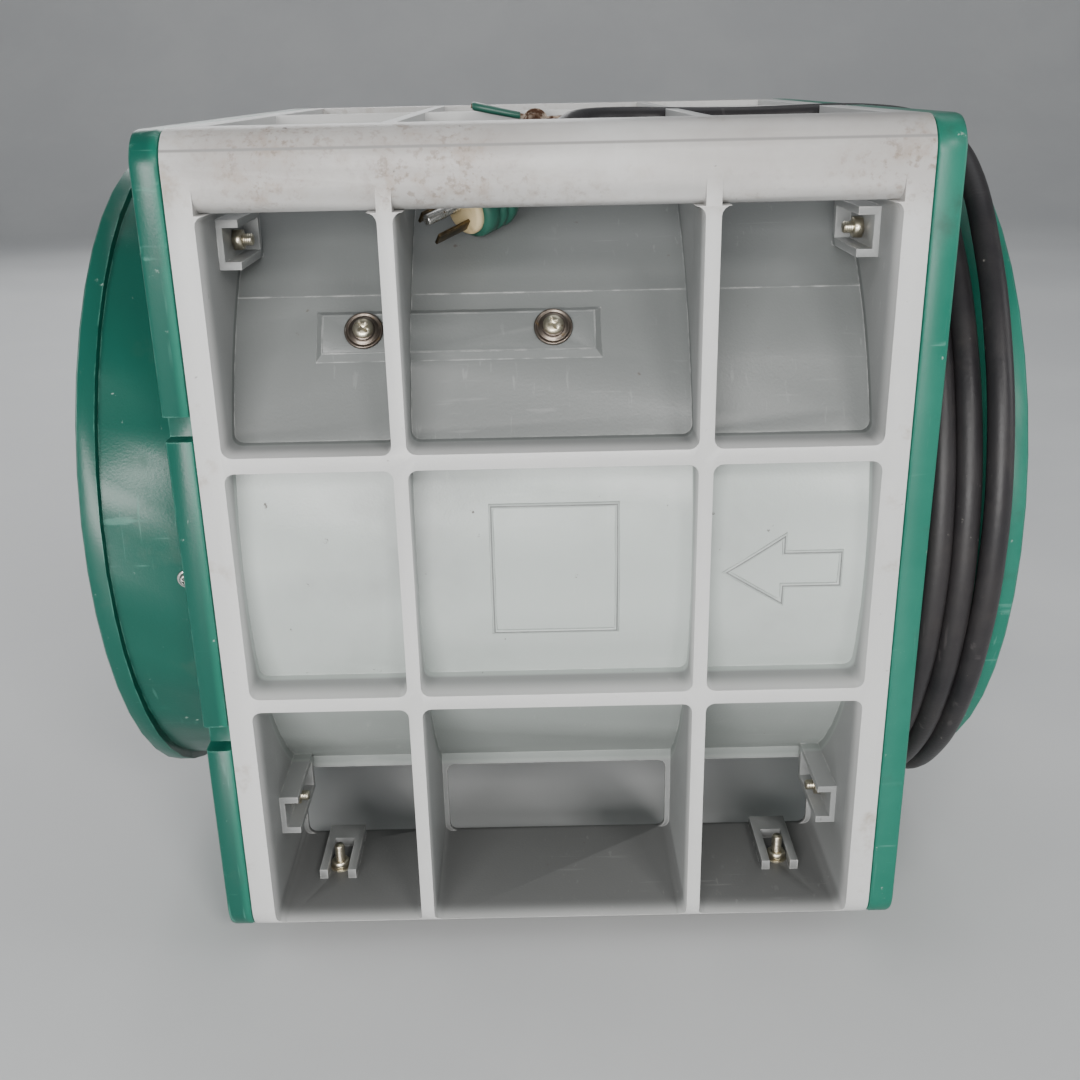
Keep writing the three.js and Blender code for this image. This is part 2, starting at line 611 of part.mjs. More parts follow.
const TAIL_POINTS = [
  [163.6, 165, 271.3],
  [163.6, 165.1, 264],
  [163.6, 167.6, 252],
  [163.6, 173.2, 236],
  [163.6, 176.9, 218],
  [163.6, 179, 196],
];
piece("cord_tail", cordStretch(TAIL_POINTS, CORD_D, 8, 12), ...BLACK);

const RUN_POINTS = [
  [185.2, -63, 356.3],
  [182.3, -46.6, 361.2],
  [174, -32.1, 364.8],
  [161.2, -21.4, 366.6],
  [145.5, -15.7, 367.2],
  [137.2, -15, 367.2],
  [110, -15, 366.6],
  [84, -15, 366.6],
  [62, -15, 367],
  [56, -15, 367.2],
  [44.1, -16.6, 367.6],
  [33, -21.2, 367.8],
  [23.5, -28.5, 367.8],
  [16.2, -38, 367.4],
  [11.6, -49.1, 366.2],
  [9.2, -58, 364.2],
  [7.2, -66, 360.4],
  [3.5, -75, 355],
  [-2.6, -82.6, 350.2],
  [-8.3, -88.7, 346.2],
];
piece("cord_run", cordStretch(RUN_POINTS, CORD_D, 8, 56), ...BLACK);

// ---- plug, hanging behind the front grip bar ----------------------------------------------
const PLUG_AXIS = new THREE.Vector3(-0.74, -0.61, -0.29).normalize();
const PLUG_REAR = new THREE.Vector3(-9.4, -89.7, 345.6);
const alongPlug = (distance) => PLUG_REAR.clone().addScaledVector(PLUG_AXIS, distance);
const plugRod = (r0, a, r1, b, facets = 14) =>
  rod(r0, alongPlug(a).toArray(), alongPlug(b).toArray(), facets, r1);
const PLUG_ROLL = 48;         // degrees the earth pin is turned from upright towards the front
const plugSide = new THREE.Vector3(0, 0, 1).cross(PLUG_AXIS).normalize()
  .applyAxisAngle(PLUG_AXIS, THREE.MathUtils.degToRad(-PLUG_ROLL));
const plugUp = PLUG_AXIS.clone().cross(plugSide);
const plugBody = plugRod(8, 0.3, 9, 10).add(plugRod(9, 9.5, 14, 18)).add(plugRod(14, 17.5, 14, 34))
  .add(plugRod(11, 33, 11, 37));
piece("plug_body", plugBody, ...GREEN);

function plugBlade(side) {
  const metal = new THREE.BoxGeometry(1.5, 6.3, 17);
  metal.translate(side * 6, -2, 37 + GAP + 8.5);
  metal.applyMatrix4(new THREE.Matrix4().makeBasis(plugSide, plugUp, PLUG_AXIS));
  metal.translate(PLUG_REAR.x, PLUG_REAR.y, PLUG_REAR.z);
  return solid(metal);
}
piece("plug_blade_1", plugBlade(-1), ...BRASS);
piece("plug_blade_2", plugBlade(1), ...BRASS);
const pinFoot = alongPlug(37 + GAP).addScaledVector(plugUp, 6);
const pinTip = pinFoot.clone().addScaledVector(PLUG_AXIS, 21);
piece("plug_earth_pin", rod(2.4, pinFoot.toArray(), pinTip.toArray(), 14), ...STEEL);

// ---- earth clip lying on the duct's flat top ----------------------------------------------
const CLIP_PIVOT = [-4, -20, 367];
const CLIP_SPREAD = 12;       // degrees each handle stands off the middle plane
const CLIP_HALF_WIDTH = [3, 4.4];
const EAR_R = 6.4;
const EAR_T = 1;
function clipHalf(halfWidth) {
  const across = [-halfWidth, halfWidth];
  const handle = box([-32, 0], across, [0.4, 2.6]).rotate([0, CLIP_SPREAD, 0]);
  const jaw = box([-2, 18], across, [0.4, 2.4]).rotate([0, -2, 0]);
  return handle.add(jaw).add(box([17, 19.5], across, [0.3, 1.6]));
}
function clipEar(outside) {
  const inside = outside - Math.sign(outside) * EAR_T;
  return rod(EAR_R, [0, inside, 0], [0, outside, 0], 20);
}
const upperJaw = clipHalf(CLIP_HALF_WIDTH[1])
  .add(clipEar(CLIP_HALF_WIDTH[1])).add(clipEar(-CLIP_HALF_WIDTH[1]));
piece("earth_clip_upper_jaw", upperJaw.translate(CLIP_PIVOT), "#7c6a55", 0.7, 0.6);
const lowerJaw = clipHalf(CLIP_HALF_WIDTH[0]).mirror([0, 0, 1]);
piece("earth_clip_lower_jaw", lowerJaw.translate(CLIP_PIVOT), "#7c6a55", 0.7, 0.6);

// ---- earth lead, from the side of the plug to the clip ------------------------------------
const LEAD_D = 3.2;
const LEAD_POINTS = [
  [-20.3, -86.9, 347],
  [-26.2, -80.2, 349],
  [-32, -73.4, 351.2],
  [-37.4, -66.8, 353.8],
  [-42.4, -61, 356.4],
  [-46.8, -55.8, 358],
  [-50.4, -50.8, 358],
  [-53, -45.2, 358],
  [-54.2, -39.2, 358],
  [-53.8, -33.2, 358],
  [-51.6, -27.6, 358],
  [-47.6, -23.2, 358],
  [-42.5, -20.6, 358.3],
  [-36.4, -20, 358.8],
];
piece("earth_lead", cordStretch(LEAD_POINTS, LEAD_D, 8, 16), ...GREEN);

export default model;
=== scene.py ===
# Portable axial ventilation fan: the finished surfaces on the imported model. Metres, +Z up.
# The floor is at Z = 0, +X is the air inlet side and -Y is the front.
import math

import bmesh
import bpy
from mathutils import Matrix, Vector


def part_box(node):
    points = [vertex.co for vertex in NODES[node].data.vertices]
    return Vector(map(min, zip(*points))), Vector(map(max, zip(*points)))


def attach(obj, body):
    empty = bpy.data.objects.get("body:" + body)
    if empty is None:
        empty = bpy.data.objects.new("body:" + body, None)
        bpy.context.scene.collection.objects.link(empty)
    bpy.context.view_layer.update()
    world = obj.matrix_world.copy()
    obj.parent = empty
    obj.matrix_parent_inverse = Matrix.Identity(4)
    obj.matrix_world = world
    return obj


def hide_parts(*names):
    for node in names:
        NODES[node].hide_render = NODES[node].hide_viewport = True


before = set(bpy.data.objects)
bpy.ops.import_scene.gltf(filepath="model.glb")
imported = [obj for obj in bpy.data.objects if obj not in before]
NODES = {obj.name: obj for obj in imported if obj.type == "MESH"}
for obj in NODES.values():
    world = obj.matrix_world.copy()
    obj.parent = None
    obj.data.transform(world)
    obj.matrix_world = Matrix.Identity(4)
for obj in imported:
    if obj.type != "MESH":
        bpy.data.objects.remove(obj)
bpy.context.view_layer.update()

MM = 0.001
GUARD_LOW, GUARD_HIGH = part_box("inlet_guard")
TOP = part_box("housing_front_half")[1].z
AXIS_Z = (GUARD_LOW.z + GUARD_HIGH.z) / 2
GUARD_RADIUS = (GUARD_HIGH.z - GUARD_LOW.z) / 2
GUARD_X = 166 * MM
SPIGOT_RADIUS = 158.6 * MM
DRUM_RADIUS = 164 * MM
PAD_ELEVATION = math.radians(35)      # of the screw pads, above the level of the fan's axis
CORD_DIAMETER = 11 * MM


# ---- camera, floor and light --------------------------------------------------------------
def make_camera():
    place = Vector((-0.006, -0.6478, 0.387))
    pitch, roll = math.radians(20.8), math.radians(1.2)
    forward = Vector((0, math.cos(pitch), -math.sin(pitch)))
    down = Vector((0, -math.sin(pitch), -math.cos(pitch)))
    right = Vector((1, 0, 0))
    across = math.cos(roll) * right + math.sin(roll) * down
    downward = math.cos(roll) * down - math.sin(roll) * right
    turn = Matrix((across, -downward, -forward)).transposed()
    data = bpy.data.cameras.new("camera")
    data.sensor_width = 36
    data.lens = 40.53
    data.clip_start = 0.01
    camera = bpy.data.objects.new("camera", data)
    bpy.context.scene.collection.objects.link(camera)
    camera.matrix_world = Matrix.Translation(place) @ turn.to_4x4()
    bpy.context.scene.camera = camera


def soft_light(name, place, aim, size, power, colour):
    data = bpy.data.lights.new(name, "AREA")
    data.shape = "RECTANGLE"
    data.size, data.size_y = size
    data.energy = power
    data.color = colour
    lamp = bpy.data.objects.new(name, data)
    bpy.context.scene.collection.objects.link(lamp)
    lamp.location = place
    lamp.rotation_euler = (Vector(aim) - Vector(place)).to_track_quat("-Z", "Y").to_euler()


def make_light():
    soft_light("front_softbox", (-0.4, -2.3, 0.55), (0, 0, 0.2), (1.4, 0.8), 66, (1, 0.985, 0.965))
    soft_light("key_lamp", (0.7, -1.8, 1.2), (0, 0, 0.25), (0.4, 0.3), 13, (1, 0.98, 0.95))
    soft_light("overhead_softbox", (0.3, 0.7, 2.2), (0, 0, 0.25), (1.6, 1.0), 8, (0.96, 0.98, 1))
    soft_light("side_softbox", (2.2, -0.5, 0.9), (0, 0, 0.2), (0.9, 1.3), 13, (1, 1, 1))
    soft_light("outlet_softbox", (-2.3, 0.3, 0.8), (0, 0, 0.2), (1.0, 1.2), 14, (1, 1, 1))
    soft_light("rear_softbox", (-0.6, 2.3, 1.3), (0, 0, 0.2), (1.6, 1.0), 18, (1, 1, 1))
    world = bpy.data.worlds.new("studio")
    world.use_nodes = True
    background = world.node_tree.nodes["Background"]
    background.inputs["Color"].default_value = (0.86, 0.89, 0.92, 1)
    background.inputs["Strength"].default_value = 0.24
    bpy.context.scene.world = world


# ---- shader node helpers ------------------------------------------------------------------
def add(tree, kind, inputs=None, **settings):
    """A node with its settings; an input that is a socket is linked, any other is its value."""
    node = tree.nodes.new(kind)
    for name, value in settings.items():
        setattr(node, name, value)
    for key, value in (inputs or {}).items():
        if isinstance(value, bpy.types.NodeSocket):
            tree.links.new(value, node.inputs[key])
        else:
            node.inputs[key].default_value = value
    return node


def maths(tree, operation, first, second=0.5):
    return add(tree, "ShaderNodeMath", {0: first, 1: second}, operation=operation).outputs[0]


def inverse(tree, mask):
    return maths(tree, "SUBTRACT", 1.0, mask)


def both(tree, first, second):
    return maths(tree, "MULTIPLY", first, second)


def band(tree, value, low, high):
    """0 below low, 1 above high, smooth between."""
    inputs = {"Value": value, "From Min": low, "From Max": high}
    node = add(tree, "ShaderNodeMapRange", inputs, interpolation_type="SMOOTHSTEP")
    return node.outputs["Result"]


def blended(tree, mask, first, second):
    node = tree.nodes.new("ShaderNodeMix")
    node.data_type = "RGBA"
    tree.links.new(mask, node.inputs["Factor"])
    for socket, value in ((node.inputs[6], first), (node.inputs[7], second)):
        if isinstance(value, bpy.types.NodeSocket):
            tree.links.new(value, socket)
        else:
            socket.default_value = (*value, 1)
    return node.outputs[2]


def shader_group(name, inputs, outputs):
    tree = bpy.data.node_groups.new(name, "ShaderNodeTree")
    for label, kind, value in inputs:
        socket = tree.interface.new_socket(label, in_out="INPUT", socket_type=kind)
        if value is not None:
            socket.default_value = value
    for label in outputs:
        tree.interface.new_socket(label, in_out="OUTPUT", socket_type="NodeSocketFloat")
    return tree, tree.nodes.new("NodeGroupInput").outputs, tree.nodes.new("NodeGroupOutput").inputs


def mottle_group():
    """Soft cloudy patches between Low and High."""
    inputs = [("Vector", "NodeSocketVector", None), ("Scale", "NodeSocketFloat", 20),
              ("Low", "NodeSocketFloat", 0.4), ("High", "NodeSocketFloat", 0.7)]
    tree, given, result = shader_group("mottle", inputs, ["Mask"])
    cloud = add(tree, "ShaderNodeTexNoise", {
        "Vector": given["Vector"], "Scale": given["Scale"], "Detail": 6, "Roughness": 0.62})
    tree.links.new(band(tree, cloud.outputs[0], given["Low"], given["High"]), result["Mask"])
    return tree


def grain_group():
    """The fine pebbled skin of a moulded or cast surface, with a slow waviness under it."""
    inputs = [("Vector", "NodeSocketVector", None), ("Scale", "NodeSocketFloat", 900),
              ("Wave", "NodeSocketFloat", 0.5)]
    tree, given, result = shader_group("grain", inputs, ["Height"])
    fine = add(tree, "ShaderNodeTexNoise", {
        "Vector": given["Vector"], "Scale": given["Scale"], "Detail": 2})
    slow = add(tree, "ShaderNodeTexNoise", {"Vector": given["Vector"], "Scale": 14, "Detail": 1})
    waved = maths(tree, "MULTIPLY", slow.outputs[0], given["Wave"])
    tree.links.new(maths(tree, "ADD", fine.outputs[0], waved), result["Height"])
    return tree


def scuff_group():
    """Short thin rub marks that run two ways, broken up so that they come in clusters."""
    inputs = [("Vector", "NodeSocketVector", None), ("Amount", "NodeSocketFloat", 0.5)]
    tree, given, result = shader_group("scuffs", inputs, ["Mask"])
    marks = []
    for stretch, turn in (((9, 140, 60), 0.35), ((120, 50, 7), -0.2)):
        laid = add(tree, "ShaderNodeMapping", {
            "Vector": given["Vector"], "Rotation": (turn, turn, turn), "Scale": stretch})
        line = add(tree, "ShaderNodeTexNoise", {"Vector": laid.outputs[0], "Scale": 3, "Detail": 3})
        marks.append(band(tree, line.outputs[0], 0.64, 0.72))
    cluster = add(tree, "ShaderNodeTexNoise", {"Vector": given["Vector"], "Scale": 16, "Detail": 2})
    patches = band(tree, cluster.outputs[0], 0.48, 0.62)
    lines = maths(tree, "MAXIMUM", marks[0], marks[1])
    found = both(tree, lines, patches)
    tree.links.new(both(tree, found, given["Amount"]), result["Mask"])
    return tree


def wear_group():
    """Where an edge is rubbed: high on edges within Width, broken up by noise."""
    inputs = [("Vector", "NodeSocketVector", None), ("Width", "NodeSocketFloat", 0.001),
              ("Amount", "NodeSocketFloat", 0.5)]
    tree, given, result = shader_group("worn_edges", inputs, ["Mask"])
    rounded = add(tree, "ShaderNodeBevel", {"Radius": given["Width"]}, samples=4)
    true = add(tree, "ShaderNodeNewGeometry")
    match = add(tree, "ShaderNodeVectorMath", {
        0: rounded.outputs[0], 1: true.outputs["Normal"]}, operation="DOT_PRODUCT")
    edge = band(tree, inverse(tree, match.outputs["Value"]), 0.015, 0.16)
    noise = add(tree, "ShaderNodeTexNoise", {"Vector": given["Vector"], "Scale": 120, "Detail": 4})
    broken = both(tree, edge, band(tree, noise.outputs[0], 0.38, 0.62))
    tree.links.new(both(tree, broken, given["Amount"]), result["Mask"])
    return tree


GROUPS = {"mottle": mottle_group(), "grain": grain_group(), "scuffs": scuff_group(),
          "worn_edges": wear_group()}


def grouped(tree, name, inputs):
    return add(tree, "ShaderNodeGroup", inputs, node_tree=GROUPS[name]).outputs[0]


class Finish:
    """A material under way: its tree, its object coordinates, its colour and its roughness."""

    def __init__(self, name, colour, second_colour, patch_scale, roughness, metallic=0.0):
        self.material = bpy.data.materials.new(name)
        self.material.use_nodes = True
        self.tree = self.material.node_tree
        self.shader = self.tree.nodes["Principled BSDF"]
        self.at = add(self.tree, "ShaderNodeTexCoord").outputs["Object"]
        self.shader.inputs["Metallic"].default_value = metallic
        patches = grouped(self.tree, "mottle", {
            "Vector": self.at, "Scale": patch_scale, "Low": 0.35, "High": 0.68})
        self.colour = blended(self.tree, patches, colour, second_colour)
        spread = maths(self.tree, "MULTIPLY", patches, 0.12)
        self.roughness = maths(self.tree, "ADD", spread, roughness)

    def layer(self, mask, colour, roughness):
        self.colour = blended(self.tree, mask, self.colour, colour)
        lift = maths(self.tree, "SUBTRACT", roughness, self.roughness)
        self.roughness = maths(
            self.tree, "ADD", self.roughness, maths(self.tree, "MULTIPLY", lift, mask))

    def scuffs(self, amount, colour, roughness):
        mask = grouped(self.tree, "scuffs", {"Vector": self.at, "Amount": amount})
        self.layer(mask, colour, roughness)

    def dirt_and_shade(self, scale, low, high, colour, roughness, within=None):
        mask = grouped(self.tree, "mottle", {
            "Vector": self.at, "Scale": scale, "Low": low, "High": high})
        if within is not None:
            mask = both(self.tree, mask, within)
        self.layer(mask, colour, roughness)

    def wear(self, width, amount, colour, roughness):
        mask = grouped(self.tree, "worn_edges", {
            "Vector": self.at, "Width": width, "Amount": amount})
        self.layer(mask, colour, roughness)

    def place(self):
        return add(self.tree, "ShaderNodeSeparateXYZ", {0: self.at}).outputs

    def done(self, grain_scale, bump, depth=0.0002, wave=0.5):
        height = grouped(self.tree, "grain", {
            "Vector": self.at, "Scale": grain_scale, "Wave": wave})
        relief = add(self.tree, "ShaderNodeBump", {
            "Height": height, "Strength": bump, "Distance": depth})
        links, sockets = self.tree.links, self.shader.inputs
        links.new(relief.outputs[0], sockets["Normal"])
        links.new(self.colour, sockets["Base Color"])
        links.new(self.roughness, sockets["Roughness"])
        return self.material


# ---- the object's finishes ----------------------------------------------------------------
# Where the grime and the painted shade on the grey housing fade in, each as (from, to) in metres.
DUCT_WALL = (0.0277, 0.0287)                        # squared distance from the fan's axis
UPPER_DUCT, LOWER_DUCT = (0.226, 0.25), (0.1, 0.14)             # heights
BASE_SHEET, UNDER_TOP = (0.014, 0.024), (TOP - 36 * MM, TOP - 16 * MM)
GRIP_BAR = (TOP - 44 * MM, TOP - 14 * MM)
POCKETS, BEHIND_FACE, OUTSIDE = (0.162, 0.1752), (0.16, 0.172), (0.13, 0.165)   # along Y
SIDES = (0.132, 0.143)                              # along X
CREASE = TOP - 7.6 * MM                             # the parting line along the grip bar


def grey_plastic():
    """Light grey moulded plastic with grime speckles on the grip bars, painted shade deep in the
    pockets, on the lower duct, the base sheet and the bar's crease, and a painted shadow of the bar on
    the upper duct.
    """
    finish = Finish("grey_plastic", (0.49, 0.495, 0.49), (0.53, 0.532, 0.528), 9, 0.34)
    finish.shader.inputs["Specular IOR Level"].default_value = 0.4
    x, y, z = finish.place()
    tree = finish.tree
    depth = maths(tree, "ABSOLUTE", y)
    above_axis = maths(tree, "SUBTRACT", z, AXIS_Z)
    squares = maths(tree, "ADD", maths(tree, "POWER", y, 2.0), maths(tree, "POWER", above_axis, 2.0))
    on_duct = inverse(tree, band(tree, squares, *DUCT_WALL))
    under_top = inverse(tree, band(tree, z, *UNDER_TOP))
    inside = inverse(tree, band(tree, depth, *POCKETS))
    # painted shade: deep inside the pockets, below the top ribs, painted dark grey
    finish.dirt_and_shade(6, 0.0, 0.25, (0.255, 0.263, 0.262), 0.42, both(tree, inside, under_top))
    finish.dirt_and_shade(5, 0.2, 0.5, (0.41, 0.448, 0.432), 0.34, on_duct)
    # painted shadow: the grip bar's shadow on the upper duct, painted dark grey
    upper_duct = both(tree, on_duct, band(tree, z, *UPPER_DUCT))
    finish.dirt_and_shade(5, 0.05, 0.35, (0.155, 0.165, 0.163), 0.4, upper_duct)
    # painted shade: the lower duct, deep in the lower window, painted darker
    lower_duct = both(tree, on_duct, inverse(tree, band(tree, z, *LOWER_DUCT)))
    finish.dirt_and_shade(5, 0.05, 0.35, (0.24, 0.262, 0.252), 0.42, lower_duct)
    outside = band(tree, depth, *OUTSIDE)
    on_bar = both(tree, band(tree, z, *GRIP_BAR), outside)
    finish.dirt_and_shade(6, 0.3, 0.7, (0.345, 0.325, 0.31), 0.38, on_bar)
    handled = grouped(tree, "mottle", {"Vector": finish.at, "Scale": 13, "Low": 0.42, "High": 0.66})
    handled = both(tree, handled, on_bar)
    finish.dirt_and_shade(120, 0.42, 0.7, (0.29, 0.235, 0.19), 0.5, handled)
    finish.dirt_and_shade(330, 0.5, 0.66, (0.2, 0.155, 0.12), 0.6, handled)
    # painted shade: a thin dark line painted in the grip bar's crease
    above_crease = band(tree, z, CREASE - 0.8 * MM, CREASE - 0.2 * MM)
    below_crease = inverse(tree, band(tree, z, CREASE + 0.2 * MM, CREASE + 0.8 * MM))
    crease = both(tree, above_crease, both(tree, below_crease, outside))
    finish.layer(crease, (0.25, 0.245, 0.24), 0.5)
    at_side = both(tree, band(tree, maths(tree, "ABSOLUTE", x), *SIDES), outside)
    finish.dirt_and_shade(60, 0.56, 0.76, (0.34, 0.3, 0.255), 0.6, at_side)
    # painted shade: the base sheet behind the front face, in the shadow of the parts above, painted
    # near black
    base_sheet = inverse(tree, band(tree, z, *BASE_SHEET))
    behind_face = inverse(tree, band(tree, depth, *BEHIND_FACE))
    finish.dirt_and_shade(6, 0.0, 0.25, (0.112, 0.114, 0.113), 0.5, both(tree, base_sheet, behind_face))
    finish.scuffs(0.08, (0.62, 0.63, 0.62), 0.5)
    finish.dirt_and_shade(170, 0.69, 0.76, (0.11, 0.1, 0.09), 0.6)
    finish.wear(1.1 * MM, 0.5, (0.68, 0.68, 0.665), 0.42)
    return finish.done(820, 0.3, 0.00028)


def green_plastic():
    """Deep blue-green moulded plastic with pale handling marks and chalky edges."""
    finish = Finish("green_plastic", (0.006, 0.118, 0.08), (0.011, 0.142, 0.098), 12, 0.33)
    finish.shader.inputs["Specular IOR Level"].default_value = 0.35
    x = finish.place()[0]
    # painted shade: the outlet end of the green plates painted a darker green, as the shade on that
    # side
    outlet_end = inverse(finish.tree, band(finish.tree, x, -0.149, -0.1455))
    finish.dirt_and_shade(9, 0.1, 0.4, (0.004, 0.075, 0.054), 0.3, outlet_end)
    finish.scuffs(0.35, (0.1, 0.3, 0.235), 0.52)
    finish.dirt_and_shade(30, 0.56, 0.76, (0.02, 0.08, 0.058), 0.55)
    finish.dirt_and_shade(190, 0.67, 0.74, (0.2, 0.3, 0.25), 0.6)
    finish.wear(1.3 * MM, 0.6, (0.12, 0.33, 0.26), 0.45)
    return finish.done(900, 0.2, 0.00024)


def zinc_steel(name, colour, tarnish, roughness):
    finish = Finish(name, colour, tarnish, 180, roughness, 1.0)
    finish.dirt_and_shade(320, 0.58, 0.7, (0.16, 0.11, 0.06), 0.62)
    finish.scuffs(0.5, (0.8, 0.78, 0.72), 0.25)
    finish.wear(0.35 * MM, 0.5, (0.85, 0.83, 0.78), 0.2)
    return finish.done(2400, 0.2, 0.00008)


def fastener_steel():
    return zinc_steel("fastener_steel", (0.62, 0.58, 0.47), (0.5, 0.45, 0.34), 0.28)


def washer_steel():
    return zinc_steel("washer_steel", (0.2, 0.17, 0.145), (0.12, 0.1, 0.085), 0.34)


def bracket_steel():
    return zinc_steel("bracket_steel", (0.55, 0.56, 0.56), (0.42, 0.43, 0.43), 0.36)


def bright_steel():
    return zinc_steel("bright_steel", (0.72, 0.71, 0.68), (0.6, 0.59, 0.56), 0.16)


def clip_steel():
    """Old spring steel, mostly gone to brown rust."""
    finish = Finish("clip_steel", (0.2, 0.165, 0.135), (0.085, 0.052, 0.034), 210, 0.45, 0.7)
    finish.dirt_and_shade(420, 0.48, 0.6, (0.085, 0.042, 0.024), 0.85)
    finish.wear(0.3 * MM, 0.6, (0.5, 0.46, 0.4), 0.35)
    return finish.done(3000, 0.5, 0.00015)


def brass():
    finish = Finish("contact_brass", (0.09, 0.07, 0.045), (0.2, 0.145, 0.075), 260, 0.32, 1.0)
    finish.scuffs(0.5, (0.5, 0.4, 0.24), 0.25)
    finish.wear(0.3 * MM, 0.6, (0.7, 0.58, 0.34), 0.25)
    return finish.done(2600, 0.2, 0.00006)


def cast_metal():
    """Painted die casting of the motor's can and end bells."""
    finish = Finish("cast_metal", (0.2, 0.215, 0.22), (0.25, 0.262, 0.265), 30, 0.42, 0.25)
    finish.dirt_and_shade(45, 0.5, 0.75, (0.13, 0.11, 0.09), 0.7)
    finish.wear(0.7 * MM, 0.5, (0.5, 0.5, 0.5), 0.3)
    return finish.done(700, 0.35)


def black_rubber():
    finish = Finish("black_rubber", (0.018, 0.018, 0.019), (0.03, 0.029, 0.028), 60, 0.55)
    finish.dirt_and_shade(90, 0.5, 0.7, (0.085, 0.075, 0.062), 0.8)
    finish.wear(0.8 * MM, 0.5, (0.08, 0.078, 0.074), 0.7)
    return finish.done(1300, 0.3)


def cord_sheath():
    """Semi-gloss black rubber sheath, faintly dusted and rubbed."""
    finish = Finish("cord_sheath", (0.016, 0.015, 0.017), (0.025, 0.023, 0.024), 22, 0.4)
    finish.shader.inputs["Specular IOR Level"].default_value = 0.32
    finish.dirt_and_shade(26, 0.5, 0.85, (0.042, 0.036, 0.033), 0.5)
    finish.scuffs(0.35, (0.1, 0.09, 0.09), 0.5)
    finish.dirt_and_shade(260, 0.67, 0.74, (0.15, 0.14, 0.13), 0.7)
    return finish.done(620, 0.3, 0.0003, 1.4)


def moulded(name, colour, second_colour, roughness=0.4):
    """Small moulded parts: impeller, capacitor case, plug."""
    finish = Finish(name, colour, second_colour, 34, roughness)
    finish.dirt_and_shade(80, 0.55, 0.75, tuple(0.55 * part for part in colour), 0.65)
    finish.wear(0.5 * MM, 0.45, tuple(min(1, 1.25 * part + 0.03) for part in colour), 0.45)
    return finish.done(1500, 0.16)


def pale_floor():
    finish = Finish("pale_floor", (0.62, 0.63, 0.64), (0.66, 0.67, 0.675), 3, 0.5)
    return finish.done(500, 0.05)


GREY = grey_plastic()
GREEN = green_plastic()
ZINC = fastener_steel()
WASHER = washer_steel()
BRACKET = bracket_steel()
BRIGHT = bright_steel()
RUST = clip_steel()
BRASS = brass()
CAST = cast_metal()
RUBBER = black_rubber()
SHEATH = cord_sheath()
FAN_PLASTIC = moulded("impeller_plastic", (0.42, 0.44, 0.42), (0.5, 0.515, 0.5))
CASE = moulded("capacitor_case", (0.55, 0.55, 0.5), (0.62, 0.62, 0.58))
# painted shade: the dark grey of the crest lines on the airflow arrow and panel, standing in for the
# ridges' shade
MARK_LINE = moulded("mark_line", (0.15, 0.16, 0.157), (0.22, 0.232, 0.228))
PLUG_GREEN = moulded("plug_green", (0.014, 0.085, 0.06), (0.022, 0.11, 0.078), 0.36)
PLUG_BEIGE = moulded("plug_beige", (0.62, 0.49, 0.27), (0.68, 0.56, 0.34), 0.3)


# ---- mesh helpers -------------------------------------------------------------------------
def new_piece(name, mesh, material):
    """A bmesh as a smooth-shaded object at the origin."""
    data = bpy.data.meshes.new(name)
    mesh.to_mesh(data)
    mesh.free()
    data.materials.clear()
    data.materials.append(material)
    data.polygons.foreach_set("use_smooth", [True] * len(data.polygons))
    piece = bpy.data.objects.new(name, data)
    bpy.context.scene.collection.objects.link(piece)
    return piece


def round_edges(piece, width, segments=2, angle=32):
    bevel = piece.modifiers.new("round_edges", "BEVEL")
    bevel.width = width
    bevel.segments = segments
    bevel.limit_method = "ANGLE"
    bevel.angle_limit = math.radians(angle)
    bevel.harden_normals = True
    bevel.use_clamp_overlap = True


def fixed(piece, body="fan_frame", replaces=()):
    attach(piece, body)
    if replaces:
        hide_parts(*replaces)
    return piece


def refined(name, cad_names, material, width, body="fan_frame", angle=32, segments=2):
    """A copy of CAD nodes with its flat stretches joined and its edges rounded."""
    mesh = bmesh.new()
    for cad_name in cad_names:
        mesh.from_mesh(NODES[cad_name].data)
    bmesh.ops.remove_doubles(mesh, verts=mesh.verts, dist=2e-6)
    bmesh.ops.dissolve_limit(
        mesh, angle_limit=math.radians(0.6), verts=mesh.verts, edges=mesh.edges)
    piece = new_piece(name, mesh, material)
    round_edges(piece, width, segments, angle)
    return fixed(piece, body, cad_names)


def turned(profile, segments=32, closed=False):
    """A round body about Z from (radius, height) points in mm; a zero radius makes a pole."""
    mesh = bmesh.new()
    rings = []
    for radius, height in profile:
        spots = segments if radius > 0 else 1
        angles = [2 * math.pi * i / segments for i in range(spots)]
        rings.append([mesh.verts.new((
            radius * MM * math.cos(a), radius * MM * math.sin(a), height * MM)) for a in angles])
    pairs = list(zip(rings, rings[1:]))
    if closed:
        pairs.append((rings[-1], rings[0]))
    for lower, upper in pairs:
        for i in range(segments):
            corners = [lower[i % len(lower)], lower[(i + 1) % len(lower)],
                       upper[(i + 1) % len(upper)], upper[i % len(upper)]]
            mesh.faces.new(list(dict.fromkeys(corners)))
    bmesh.ops.recalc_face_normals(mesh, faces=mesh.faces)
    return mesh


def hexagon(across_flats, low, high, bore, chamfer=0.6):
    """A nut about Z: six flats with turned-down corners, and a bore through it."""
    corner = across_flats / math.sqrt(3)
    return turned([(bore, low), (corner - chamfer, low), (corner, low + chamfer / 2),
                   (corner, high - chamfer / 2), (corner - chamfer, high), (bore, high)], 6, True)


def joined(*parts):
    whole = bmesh.new()
    for part in parts:
        data = bpy.data.meshes.new("part")
        part.to_mesh(data)
        part.free()
        whole.from_mesh(data)
        bpy.data.meshes.remove(data)
    return whole


def threaded(radius, low, high, pitch=0.8):
    """A stud about Z with a ridge for each thread."""
    profile = [(0, low), (radius * 0.8, low)]
    height = low + 0.3
    while height < high - pitch:
        profile += [(radius * 0.86, height), (radius, height + pitch * 0.35),
                    (radius, height + pitch * 0.55)]
        height += pitch
    return turned(profile + [(radius * 0.8, high), (0, high)], 16)


